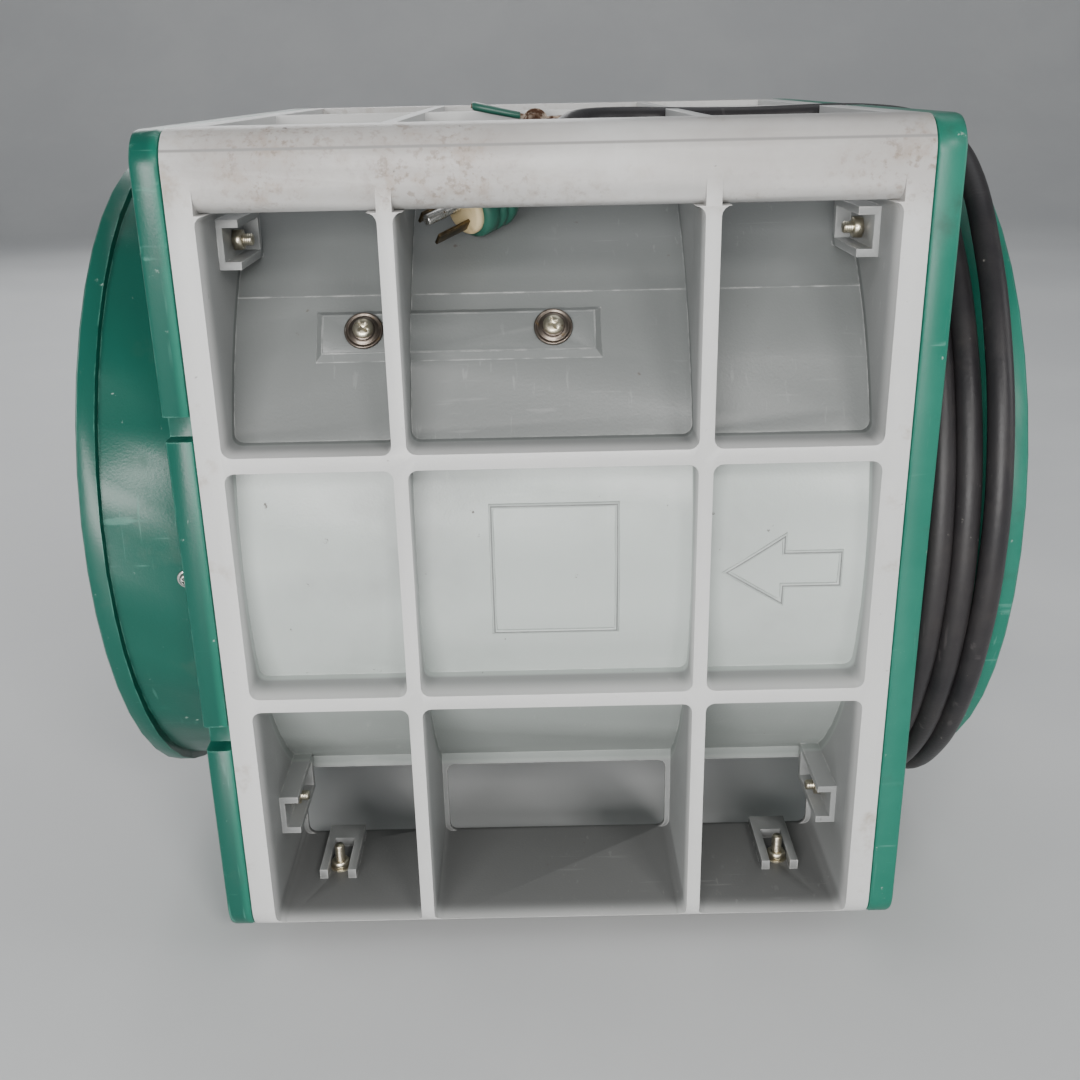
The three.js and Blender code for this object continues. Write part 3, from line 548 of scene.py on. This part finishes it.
def evaluated(carrier):
    """What an object's modifiers make of it, as a bmesh. The object itself is removed."""
    shaped = bpy.data.meshes.new_from_object(
        carrier.evaluated_get(bpy.context.evaluated_depsgraph_get()))
    mesh = bmesh.new()
    mesh.from_mesh(shaped)
    bpy.data.objects.remove(carrier)
    bpy.data.meshes.remove(shaped)
    return mesh


def cross_recess(mesh, top, reach, depth):
    """Cuts a cross recess into a head whose top is at this height, in mm."""
    head = new_piece("head", mesh, ZINC)
    blades = bmesh.new()
    for size in ((reach, 0.7), (0.7, reach)):
        made = bmesh.ops.create_cube(blades, size=2)["verts"]
        for vert in made:
            narrow = 0.45 if vert.co.z < 0 else 1
            vert.co = Vector((vert.co.x * size[0] * narrow * MM, vert.co.y * size[1] * MM,
                              (top + vert.co.z * depth) * MM))
    cutter = new_piece("cutter", blades, ZINC)
    cut = head.modifiers.new("recess", "BOOLEAN")
    cut.object = cutter
    cut.solver = "EXACT"
    cut.use_self = True
    result = evaluated(head)
    bpy.data.objects.remove(cutter)
    return result


# ---- what repeats: one Geometry Nodes tree that sets a template on points ------------------
def repeat_tree():
    """Instances of Template on the points, its Z along each point's aim, turned at random."""
    tree = bpy.data.node_groups.new("set_on_points", "GeometryNodeTree")
    for label, kind in (("Geometry", "NodeSocketGeometry"), ("Template", "NodeSocketObject"),
                        ("Random Turn", "NodeSocketFloat"), ("Seed", "NodeSocketInt"),
                        ("Material", "NodeSocketMaterial")):
        tree.interface.new_socket(label, in_out="INPUT", socket_type=kind)
    tree.interface.new_socket("Geometry", in_out="OUTPUT", socket_type="NodeSocketGeometry")
    given = tree.nodes.new("NodeGroupInput").outputs
    aim = add(tree, "GeometryNodeInputNamedAttribute", {"Name": "aim"}, data_type="FLOAT_VECTOR")
    facing = add(tree, "FunctionNodeAlignRotationToVector", {"Vector": aim.outputs[0]}, axis="Z")
    turn = add(tree, "FunctionNodeRandomValue", {"Seed": given["Seed"]}, data_type="FLOAT")
    least = add(tree, "ShaderNodeMath", {0: given["Random Turn"], 1: -1.0}, operation="MULTIPLY")
    floats = [socket for socket in turn.inputs if socket.type == "VALUE" and socket.enabled]
    tree.links.new(least.outputs[0], floats[0])
    tree.links.new(given["Random Turn"], floats[1])
    value = next(socket for socket in turn.outputs if socket.type == "VALUE")
    spin = add(tree, "ShaderNodeCombineXYZ", {"Z": value})
    spun = add(tree, "FunctionNodeRotateRotation", {
        "Rotation": facing.outputs[0], "Rotate By": spin.outputs[0]}, rotation_space="LOCAL")
    shape = add(tree, "GeometryNodeObjectInfo", {"Object": given["Template"]})
    spread = add(tree, "GeometryNodeInstanceOnPoints", {
        "Points": given["Geometry"], "Instance": shape.outputs["Geometry"],
        "Rotation": spun.outputs[0]})
    real = add(tree, "GeometryNodeRealizeInstances", {"Geometry": spread.outputs[0]})
    dressed = add(tree, "GeometryNodeSetMaterial", {
        "Geometry": real.outputs[0], "Material": given["Material"]})
    end = tree.nodes.new("NodeGroupOutput")
    tree.links.new(dressed.outputs[0], end.inputs[0])
    return tree


REPEAT = repeat_tree()


def set_inputs(modifier, values):
    sockets = {item.name: item.identifier for item in modifier.node_group.interface.items_tree
               if item.in_out == "INPUT"}
    for label, value in values.items():
        modifier[sockets[label]] = value


def repeated(name, template_mesh, places, material, random_turn=0.0, seed=7):
    """One piece with the template at each (place, aim), places in metres."""
    template = new_piece("template", template_mesh, material)
    points = bpy.data.meshes.new("points")
    points.from_pydata([place for place, _ in places], [], [])
    aims = points.attributes.new("aim", "FLOAT_VECTOR", "POINT")
    aims.data.foreach_set("vector", [part for _, aim in places for part in aim])
    carrier = bpy.data.objects.new("carrier", points)
    bpy.context.scene.collection.objects.link(carrier)
    modifier = carrier.modifiers.new("set_on_points", "NODES")
    modifier.node_group = REPEAT
    set_inputs(modifier, {"Template": template, "Random Turn": random_turn, "Seed": seed,
                          "Material": material})
    piece = new_piece(name, evaluated(carrier), material)
    bpy.data.objects.remove(template)
    return piece


# ---- mains cord ---------------------------------------------------------------------------
EXIT = Vector((163.6, 165, 272)) * MM
CONE_LENGTH = 25.2 * MM
TAIL_POINTS = [
    (163.6, 165, 271.3), (163.6, 165.1, 264), (163.6, 167.6, 252), (163.6, 173.2, 236),
    (163.6, 176.9, 218), (163.6, 179, 196),
]
RUN_POINTS = [
    (185.2, -63, 356.3), (182.3, -46.6, 361.2), (174, -32.1, 364.8), (161.2, -21.4, 366.6),
    (145.5, -15.7, 367.2), (137.2, -15, 367.2), (110, -15, 366.6), (84, -15, 366.6),
    (62, -15, 367), (56, -15, 367.2), (44.1, -16.6, 367.6), (33, -21.2, 367.8),
    (23.5, -28.5, 367.8), (16.2, -38, 367.4), (11.6, -49.1, 366.2), (9.2, -58, 364.2),
    (7.2, -66, 360.4), (3.5, -75, 355), (-2.6, -82.6, 350.2), (-8.3, -88.7, 346.2),
]
COIL_Z = 188.8              # the slack turns hang a little below the spigot's middle
COIL_RADIUS = 167.5
OUTER_RADIUS = 179          # where a turn rides up over the others
FIRST_TURN_X = 163.2
TURN_PITCH = 11.1
WINDS_FROM, WINDS_TO = 8, 961
POINTS_PER_TURN = 24


def eased(value, low, high):
    part = min(1, max(0, (value - low) / (high - low)))
    return part * part * (3 - 2 * part)


def coil_points():
    """Turns from the rear down under the spigot, up the front and over, each beside the last."""
    steps = round((WINDS_TO - WINDS_FROM) / 360 * POINTS_PER_TURN)
    points = []
    for step in range(steps + 1):
        angle = WINDS_FROM + (WINDS_TO - WINDS_FROM) * step / steps
        turns_done = angle // 360
        x = FIRST_TURN_X + TURN_PITCH * (turns_done + eased(angle % 360, 205, 345))
        lift = (1 - eased(angle, 0, 95)) + eased(angle, 868, 968)
        radius = COIL_RADIUS + (OUTER_RADIUS - COIL_RADIUS) * lift
        turn = math.radians(angle)
        points.append((x, radius * math.cos(turn), COIL_Z - radius * math.sin(turn)))
    return points


def curve_tube(name, points, diameter, material):
    data = bpy.data.curves.new(name, "CURVE")
    data.dimensions = "3D"
    data.bevel_depth = diameter / 2
    data.bevel_resolution = 6
    data.resolution_u = 6
    data.use_fill_caps = True
    spline = data.splines.new("BEZIER")
    spline.bezier_points.add(len(points) - 1)
    for spot, place in zip(spline.bezier_points, points):
        spot.co = Vector(place) * MM
        spot.handle_left_type = spot.handle_right_type = "AUTO"
    data.materials.append(material)
    piece = bpy.data.objects.new(name, data)
    bpy.context.scene.collection.objects.link(piece)
    return piece


def mains_cord():
    points = TAIL_POINTS + coil_points() + RUN_POINTS
    piece = curve_tube("mains_cord", points, CORD_DIAMETER, SHEATH)
    fixed(piece, replaces=("cord_tail", "cord_coil", "cord_run"))


def strain_relief():
    """A ribbed sleeve that tapers down round the cord below the gland block."""
    profile = [(5.6, 0), (10.4, 0)]
    for ring in range(5):
        height = 3.2 + 4.4 * ring
        wide = 10.9 - 0.5 * ring
        profile += [(wide, height - 1.2), (wide, height + 1.0), (wide - 0.8, height + 1.5),
                    (wide - 0.8, height + 2.7)]
    mesh = turned(profile + [(7.5, 25.3), (5.6, 25.3)], 32, True)
    place = Vector((EXIT.x, EXIT.y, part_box("cord_exit_gland")[0].z + CONE_LENGTH))
    mesh.transform(Matrix.Translation(place) @ Matrix.Rotation(math.pi, 4, "X"))
    return fixed(new_piece("cord_strain_relief", mesh, RUBBER))


# ---- plug and earth clip ------------------------------------------------------------------
PLUG_AXIS = Vector((-0.74, -0.61, -0.29)).normalized()
PLUG_REAR = Vector((-9.4, -89.7, 345.6)) * MM


def along_plug(mesh):
    turn = PLUG_AXIS.to_track_quat("Z", "Y").to_matrix().to_4x4()
    mesh.transform(Matrix.Translation(PLUG_REAR) @ turn)
    return mesh


def plug():
    body = [(0, 0.3), (7.2, 0.3), (8.2, 1.6), (8.6, 5), (8.2, 6), (8.8, 7.2), (8.6, 9), (10, 11.4),
            (12.6, 15), (13.9, 18), (13.9, 20.4), (13.2, 21), (13.2, 22), (13.9, 22.6),
            (13.9, 25), (13.2, 25.6), (13.2, 26.6), (13.9, 27.2), (13.9, 31.4), (13.3, 33.2),
            (11.6, 33.8), (0, 33.8)]
    grip = fixed(new_piece("plug_body_finish", along_plug(turned(body, 48)), PLUG_GREEN),
                 replaces=("plug_body",))
    face_profile = [(0, 33), (11.2, 33), (11.2, 35.6), (10.6, 36.6), (9.4, 37), (0, 37)]
    face = fixed(new_piece("plug_face", along_plug(turned(face_profile, 48)), PLUG_BEIGE))
    blades = refined("plug_blades", ["plug_blade_1", "plug_blade_2"], BRASS,
                     0.4 * MM)
    pin = refined("plug_earth_pin_finish", ["plug_earth_pin"], BRIGHT, 1.1 * MM,
                  angle=50, segments=4)
    return [grip, face, blades, pin]


CLIP_PIVOT = Vector((-4, -20, 367))
CLIP_SLOPE = math.tan(math.radians(12))
LEAD_POINTS = [
    (-20.3, -86.9, 347), (-26.2, -80.2, 349), (-32, -73.4, 351.2), (-37.4, -66.8, 353.8),
    (-42.4, -61, 356.4), (-46.8, -55.8, 358), (-50.4, -50.8, 358), (-53, -45.2, 358),
    (-54.2, -39.2, 358), (-53.8, -33.2, 358), (-51.6, -27.6, 358), (-47.6, -23.2, 358),
    (-42.5, -20.6, 358.3), (-36.4, -20, 358.8),
]


def clip_sleeve(name, side, body, half_width, half_height):
    """A green vinyl sleeve over one handle of the earth clip."""
    ring, around = [], 20
    for i in range(around):
        a = 2 * math.pi * i / around
        ring.append((half_width * math.copysign(abs(math.cos(a)) ** 0.6, math.cos(a)),
                     half_height * math.copysign(abs(math.sin(a)) ** 0.7, math.sin(a))))
    mesh = bmesh.new()
    rings = []
    for reach, scale in ((30.7, 0.5), (30.4, 0.85), (29.4, 1), (22, 0.98), (14, 0.9), (8, 0.84),
                         (7.3, 0.78), (7, 0.6)):
        rise = (1.53 + reach * CLIP_SLOPE) * side
        rings.append([mesh.verts.new(
            (CLIP_PIVOT + Vector((-reach, across * scale, rise + up * scale))) * MM)
            for across, up in ring])
    for before, after in zip(rings, rings[1:]):
        for i in range(around):
            beside = (i + 1) % around
            mesh.faces.new((before[i], before[beside], after[beside], after[i]))
    mesh.faces.new(rings[0])
    mesh.faces.new(rings[-1])
    bmesh.ops.recalc_face_normals(mesh, faces=mesh.faces)
    return fixed(new_piece(f"earth_clip_{name}_sleeve", mesh, PLUG_GREEN), body)


def clip_rivet():
    """The pivot's rivet heads, with the spring's end coiled round each."""
    head = turned([(0, 0), (5.6, 0), (5.6, 0.5), (5, 0.8), (4.5, 0.35), (3.9, 0.35), (3.5, 0.9),
                   (3, 0.4), (2.4, 0.4), (2.2, 1), (1.4, 1.5), (0, 1.7)], 28)
    places = []
    for front in (-1, 1):
        outward = Vector((0, front, 0))
        places.append((CLIP_PIVOT * MM + outward * 4.35 * MM, outward))
    return fixed(repeated("earth_clip_rivet", head, places, RUST, 1.0, 4), "clip_jaw")


def earth_clip():
    upper = refined("earth_clip_upper_finish", ["earth_clip_upper_jaw"], RUST,
                    0.3 * MM, "clip_jaw")
    lower = refined("earth_clip_lower_finish", ["earth_clip_lower_jaw"], RUST,
                    0.3 * MM)
    return [upper, lower, clip_rivet(), clip_sleeve("upper", 1, "clip_jaw", 6.1, 2.1),
            clip_sleeve("lower", -1, "fan_frame", 4.4, 1.9)]


def earth_lead():
    """The thin green lead from the side of the plug to the end of the clip's lower handle."""
    lead = curve_tube("earth_lead_finish", LEAD_POINTS, 3.2 * MM, PLUG_GREEN)
    fixed(lead, replaces=("earth_lead",))


# ---- housing and end plates ---------------------------------------------------------------
def on_drum(x, z, rise):
    """A point on the front of the duct wall, rise mm proud of it."""
    radius = DRUM_RADIUS / MM + rise
    height = z - AXIS_Z / MM
    return Vector((x, -math.sqrt(radius * radius - height * height), z)) * MM


def raised_line(mesh, corners, width, rise):
    """A low ridge on the duct wall that follows an outline of (x, z) corners."""
    route = []
    for (ax, az), (bx, bz) in zip(corners, corners[1:] + corners[:1]):
        steps = max(1, round(math.hypot(bx - ax, bz - az) / 5))
        route += [(ax + (bx - ax) * i / steps, az + (bz - az) * i / steps) for i in range(steps)]
    count = len(route)
    rings = []
    for i, (x, z) in enumerate(route):
        before, after = route[i - 1], route[(i + 1) % count]
        into = Vector((x - before[0], z - before[1])).normalized()
        out = Vector((after[0] - x, after[1] - z)).normalized()
        corner = (into + out).normalized()
        side = Vector((-corner.y, corner.x)) / max(0.5, corner.dot(out))
        section = ((-width / 2, -0.7), (-width / 3, rise * 0.8), (0, rise), (width / 3, rise * 0.8),
                   (width / 2, -0.7))
        rings.append([mesh.verts.new(on_drum(x + side.x * across, z + side.y * across, up))
                      for across, up in section])
    for i in range(count):
        near, far = rings[i], rings[(i + 1) % count]
        for k in range(len(near)):
            beside = (k + 1) % len(near)
            mesh.faces.new((near[k], near[beside], far[beside], far[k]))


def airflow_marks():
    """The moulded airflow arrow and a plain panel outline, each with a dark line along its crest that
    is painted shade.
    """
    tip, barb, tail = 74, 98.5, 123
    arrow = [(tip, 186.5), (barb, 202.4), (barb, 195), (tail, 195), (tail, 179.6), (barb, 179.6),
             (barb, 171.2)]
    panel = [(-26.6, 159), (27, 159), (27, 218), (-26.6, 218)]
    for name, width, rise, material in (("airflow_marks", 2.4, 0.6, GREY),
                                        ("airflow_mark_crests", 0.9, 0.78, MARK_LINE)):
        mesh = bmesh.new()
        raised_line(mesh, arrow, width, rise)
        raised_line(mesh, panel, width, rise)
        bmesh.ops.recalc_face_normals(mesh, faces=mesh.faces)
        fixed(new_piece(name, mesh, material))


def pad_skirts():
    """The sloping edges round the flat pads that the motor screws press on."""
    middle_x, half_length, half_width = -38.5, 58, 9
    mesh = bmesh.new()
    for front in (-1, 1):
        up = Vector((0, front * math.cos(PAD_ELEVATION), math.sin(PAD_ELEVATION)))
        side = up.cross(Vector((1, 0, 0)))
        rings = []
        for inset, height in ((1.2, 163.3), (1.2, 166.4), (0.4, 166.62), (-2.8, 163.3)):
            long, wide = half_length - inset, half_width - inset
            rings.append([mesh.verts.new((
                Vector((middle_x + long * a, 0, AXIS_Z / MM)) + side * (wide * b) + up * height) * MM)
                for a, b in ((-1, -1), (1, -1), (1, 1), (-1, 1))])
        for k in range(4):
            inner, outer = rings[k], rings[(k + 1) % 4]
            for i in range(4):
                mesh.faces.new((inner[i], inner[(i + 1) % 4], outer[(i + 1) % 4], outer[i]))
    bmesh.ops.recalc_face_normals(mesh, faces=mesh.faces)
    piece = new_piece("pad_skirts", mesh, GREY)
    round_edges(piece, 0.25 * MM)
    fixed(piece)


def housing():
    pad_skirts()
    for half in ("front", "rear"):
        refined(f"housing_{half}_finish", [f"housing_{half}_half"], GREY, 0.9 * MM)
    for side in ("outlet", "inlet"):
        refined(f"{side}_end_plate_finish", [f"{side}_end_plate"], GREEN, 0.8 * MM)
    airflow_marks()


# ---- fasteners and feet -------------------------------------------------------------------
def pan_head(radius, low, height):
    top = low + height
    profile = [(0, low), (radius, low), (radius, low + height * 0.3),
               (radius * 0.93, low + height * 0.66), (radius * 0.7, low + height * 0.92),
               (radius * 0.35, top), (0, top)]
    return cross_recess(turned(profile, 24), top, radius * 0.62, height * 0.62)


def washer(inner, outer, low, high):
    return turned([(inner, low), (outer - 0.3, low), (outer, low + 0.3), (outer, high - 0.3),
                   (outer - 0.3, high), (inner, high)], 36, True)


def stamped_washer(inner, outer, low, high):
    """A wide washer with a rolled rim and a ring pressed into its face."""
    return turned([(inner, low), (outer - 0.3, low), (outer, low + 0.3), (outer, high - 0.3),
                   (outer - 0.3, high), (outer - 1, high), (outer - 1.2, high - 0.5),
                   (outer - 1.9, high - 0.5), (outer - 2.1, high - 0.1), (inner, high - 0.1)],
                  40, True)


def middle(node):
    low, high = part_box(node)
    return (low + high) / 2


def bracket_screws():
    """Motor bracket screws on the duct: a wide washer, a spring washer and a pan head."""
    names = [f"bracket_screw_{where}_{i}" for where in ("front", "rear") for i in (1, 2)]
    screw = joined(pan_head(4.4, 2.5, 2.4), threaded(2.5, -19, 0.5))
    washers = joined(stamped_washer(2.6, 8.2, 0, 1.6), washer(2.6, 4.9, 1.6, 2.6))
    places = []
    for name in names:
        centre = middle(name)
        outward = Vector((0, centre.y, centre.z - AXIS_Z)).normalized()
        seat = Vector((centre.x, 0, AXIS_Z)) + outward * (DRUM_RADIUS + 2.6 * MM)
        places.append((seat, outward))
    fixed(repeated("bracket_screws", screw, places, ZINC, 0.9, 3),
          replaces=names)
    fixed(repeated("bracket_washers", washers, places, WASHER))


def plate_bolts():
    bolts = [f"end_plate_bolt_{i}" for i in range(1, 9)]
    nuts = [f"end_plate_nut_{i}" for i in range(1, 9)]
    bolt_places, nut_places, head_height = [], [], 3.4 * MM
    for bolt, nut in zip(bolts, nuts):
        side = 1 if middle(bolt).x > 0 else -1
        outward = Vector((side, 0, 0))
        low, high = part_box(bolt)
        seat_x = side * (max(abs(low.x), abs(high.x)) - head_height)
        bolt_places.append((Vector((seat_x, middle(bolt).y, middle(bolt).z)), outward))
        nut_low, nut_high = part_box(nut)
        inner = side * min(abs(nut_low.x), abs(nut_high.x))
        nut_places.append((Vector((inner, middle(nut).y, middle(nut).z)), outward))
    head = joined(pan_head(4.6, 0, 3.3), threaded(2.5, -33.4, 0.2))
    fixed(repeated("end_plate_bolts", head, bolt_places, ZINC, 1.2, 5),
          replaces=bolts)
    fixed(repeated("end_plate_nuts", hexagon(8, 0, 4, 2.5), nut_places, ZINC, 0.5, 9),
          replaces=nuts)


def feet():
    screws = [f"foot_screw_and_nut_{i}" for i in range(1, 5)]
    rubbers = [f"rubber_foot_{i}" for i in range(1, 5)]
    up = Vector((0, 0, 1))
    spots = [(Vector((middle(name).x, middle(name).y, 0)), up) for name in screws]
    stud = joined(hexagon(8, 16.3, 20.3, 2.5), washer(2.6, 5.4, 15.9, 16.5), threaded(2.5, 5, 29),
                  pan_head(4.5, 4, 2.2))
    fixed(repeated("foot_screws_and_nuts", stud, spots, ZINC, 1.0, 11),
          replaces=screws)
    rubber = turned([(5, 7.3), (5, 0.5), (5.6, 0), (10.9, 0), (11.5, 0.6), (12.4, 5), (13.4, 10.8),
                     (12.9, 11.7), (2.8, 11.7), (2.8, 7.3)], 40, True)
    fixed(repeated("rubber_feet", rubber, spots, RUBBER), replaces=rubbers)


def spigot_screws():
    """Small screws through the outlet spigot that hold the wire guard's rim."""
    shape = joined(pan_head(3.1, 0, 2.0), washer(2, 4.2, -0.4, 0.2))
    places = []
    for degrees in (182, 272, 2, 92):
        a = math.radians(degrees)
        outward = Vector((0, math.cos(a), math.sin(a)))
        places.append((Vector((-GUARD_LOW.x, 0, AXIS_Z)) + outward * SPIGOT_RADIUS, outward))
    fixed(repeated("guard_screws", shape, places, BRIGHT, 1.5, 2))


# ---- wire guards --------------------------------------------------------------------------
def guard_tree():
    """Round wire rings about Z, an even step apart, and three bars across them."""
    tree = bpy.data.node_groups.new("wire_guard", "GeometryNodeTree")
    for label, kind in (("Geometry", "NodeSocketGeometry"), ("Inner Radius", "NodeSocketFloat"),
                        ("Outer Radius", "NodeSocketFloat"), ("Rings", "NodeSocketInt"),
                        ("Wire Radius", "NodeSocketFloat"), ("Bars", "NodeSocketInt"),
                        ("Material", "NodeSocketMaterial")):
        tree.interface.new_socket(label, in_out="INPUT", socket_type=kind)
    tree.interface.new_socket("Geometry", in_out="OUTPUT", socket_type="NodeSocketGeometry")
    given = tree.nodes.new("NodeGroupInput").outputs
    index = tree.nodes.new("GeometryNodeInputIndex").outputs[0]
    last = maths(tree, "SUBTRACT", given["Rings"], 1.0)
    radius = add(tree, "ShaderNodeMapRange", {
        "Value": index, "From Min": 0.0, "From Max": last,
        "To Min": given["Inner Radius"], "To Max": given["Outer Radius"]}).outputs["Result"]
    seeds = add(tree, "GeometryNodeMeshLine", {"Count": given["Rings"], "Offset": (0, 0, 0)})
    circle = add(tree, "GeometryNodeCurvePrimitiveCircle", {"Resolution": 96, "Radius": 1.0})
    scale = add(tree, "ShaderNodeCombineXYZ", {"X": radius, "Y": radius, "Z": radius})
    rings = add(tree, "GeometryNodeInstanceOnPoints", {
        "Points": seeds.outputs[0], "Instance": circle.outputs[0], "Scale": scale.outputs[0]})
    bar_seeds = add(tree, "GeometryNodeMeshLine", {"Count": given["Bars"], "Offset": (0, 0, 0)})
    bar = add(tree, "GeometryNodeCurvePrimitiveLine", {"Start": (-1, 0, 0), "End": (1, 0, 0)})
    longer = add(tree, "ShaderNodeCombineXYZ", {
        "X": given["Outer Radius"], "Y": 1.0, "Z": 1.0}).outputs[0]
    step = maths(tree, "DIVIDE", math.pi, given["Bars"])
    angle = maths(tree, "ADD", maths(tree, "MULTIPLY", index, step), math.radians(30))
    turn = add(tree, "ShaderNodeCombineXYZ", {"Z": angle}).outputs[0]
    bars = add(tree, "GeometryNodeInstanceOnPoints", {
        "Points": bar_seeds.outputs[0], "Instance": bar.outputs[0], "Rotation": turn,
        "Scale": longer})
    sunk = maths(tree, "MULTIPLY", given["Wire Radius"], -1.8)
    behind = add(tree, "ShaderNodeCombineXYZ", {"Z": sunk}).outputs[0]
    set_back = add(tree, "GeometryNodeTransform", {"Geometry": bars.outputs[0], "Translation": behind})
    wires = tree.nodes.new("GeometryNodeJoinGeometry")
    tree.links.new(rings.outputs[0], wires.inputs[0])
    tree.links.new(set_back.outputs[0], wires.inputs[0])
    real = add(tree, "GeometryNodeRealizeInstances", {"Geometry": wires.outputs[0]})
    section = add(tree, "GeometryNodeCurvePrimitiveCircle", {
        "Resolution": 12, "Radius": given["Wire Radius"]})
    tube = add(tree, "GeometryNodeCurveToMesh", {
        "Curve": real.outputs[0], "Profile Curve": section.outputs[0], "Fill Caps": True})
    dressed = add(tree, "GeometryNodeSetMaterial", {
        "Geometry": tube.outputs[0], "Material": given["Material"]})
    end = tree.nodes.new("NodeGroupOutput")
    tree.links.new(dressed.outputs[0], end.inputs[0])
    return tree


def wire_guards():
    tree = guard_tree()
    for side, sign in (("inlet", 1), ("outlet", -1)):
        carrier = bpy.data.objects.new("carrier", bpy.data.meshes.new("carrier"))
        bpy.context.scene.collection.objects.link(carrier)
        modifier = carrier.modifiers.new("wire_guard", "NODES")
        modifier.node_group = tree
        set_inputs(modifier, {
            "Inner Radius": 44 * MM, "Outer Radius": GUARD_RADIUS - 2.1 * MM, "Rings": 5,
            "Wire Radius": 2 * MM, "Bars": 3, "Material": BRACKET})
        boss = turned([(0, -5), (19, -5), (20, -4), (20, 1), (18.6, 2), (6, 2.4), (0, 2.6)], 40)
        whole = joined(evaluated(carrier), boss)
        facing = Vector((sign, 0, 0)).to_track_quat("Z", "Y").to_matrix().to_4x4()
        whole.transform(Matrix.Translation((sign * GUARD_X, 0, AXIS_Z)) @ facing)
        fixed(new_piece(f"{side}_guard_finish", whole, BRACKET),
              replaces=(f"{side}_guard",))


# ---- motor, impeller and switch -----------------------------------------------------------
def motor():
    refined("motor_can", ["motor_body"], CAST, 1.2 * MM, segments=3)
    refined("motor_bells", ["motor_bell_outlet_side", "motor_bell_inlet_side"], CAST,
            1.5 * MM, segments=3)
    refined("shaft_bearings", ["shaft_bearing_outlet_side", "shaft_bearing_inlet_side"], BRIGHT,
            0.5 * MM)
    refined("rotor_and_shaft", ["motor_shaft_and_rotor"], BRIGHT, 0.6 * MM, "fan_rotor")
    refined("motor_brackets", ["motor_bracket_front", "motor_bracket_rear"], BRACKET,
            0.5 * MM)
    low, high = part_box("motor_body")
    length, radius = high.x - low.x, (high.z - low.z) / 2
    fin = bmesh.new()
    bmesh.ops.create_cube(fin, size=1)
    bmesh.ops.scale(fin, vec=(length - 12 * MM, 1.6 * MM, 3.4 * MM), verts=fin.verts)
    bmesh.ops.bevel(fin, geom=fin.edges, offset=0.5 * MM, segments=2, affect="EDGES")
    places = []
    for i in range(36):
        a = 2 * math.pi * (i + 0.5) / 36
        outward = Vector((0, math.cos(a), math.sin(a)))
        beside_bracket = abs(abs(math.cos(a)) - math.cos(PAD_ELEVATION)) < 0.13
        if math.sin(a) < 0 or not beside_bracket:
            centre = Vector(((low.x + high.x) / 2, 0, AXIS_Z))
            places.append((centre + outward * (radius - 1.0 * MM), outward))
    fixed(repeated("motor_fins", fin, places, CAST))


def impeller():
    refined("impeller_finish", ["impeller"], FAN_PLASTIC, 0.7 * MM, "fan_rotor",
            angle=40)
    refined("impeller_nut_finish", ["impeller_nut"], ZINC, 0.5 * MM, "fan_rotor")


def switch():
    refined("switch_box_finish", ["switch_box"], RUBBER, 0.8 * MM)
    refined("switch_lid_finish", ["switch_box_lid"], CAST, 0.6 * MM)
    refined("switch_lever_finish", ["switch_lever"], BRIGHT, 0.8 * MM, "switch_lever")
    refined("run_capacitor_finish", ["run_capacitor"], CASE, 1.2 * MM, segments=3)
    refined("gland_block_finish", ["cord_exit_gland"], RUBBER, 0.8 * MM)


# ---- floor --------------------------------------------------------------------------------
def floor():
    """A pale studio sweep: flat under the object, and curving up far behind it."""
    flat_to, curve, half_width, height = 2.6, 1.4, 7, 4.5
    profile = [(-5, 0), (flat_to, 0)]
    for step in range(1, 17):
        a = math.pi / 2 * step / 16
        profile.append((flat_to + curve * math.sin(a), curve * (1 - math.cos(a))))
    profile.append((flat_to + curve, height))
    mesh = bmesh.new()
    rows = [[mesh.verts.new((x, y, z)) for x in (-half_width, half_width)] for y, z in profile]
    for near, far in zip(rows, rows[1:]):
        mesh.faces.new((near[0], near[1], far[1], far[0]))
    new_piece("floor", mesh, pale_floor())


make_camera()
plug_pieces = plug()
relief = strain_relief()
clip_pieces = earth_clip()
mains_cord()
earth_lead()
make_light()
floor()
housing()
bracket_screws()
plate_bolts()
feet()
spigot_screws()
wire_guards()
motor()
impeller()
switch()
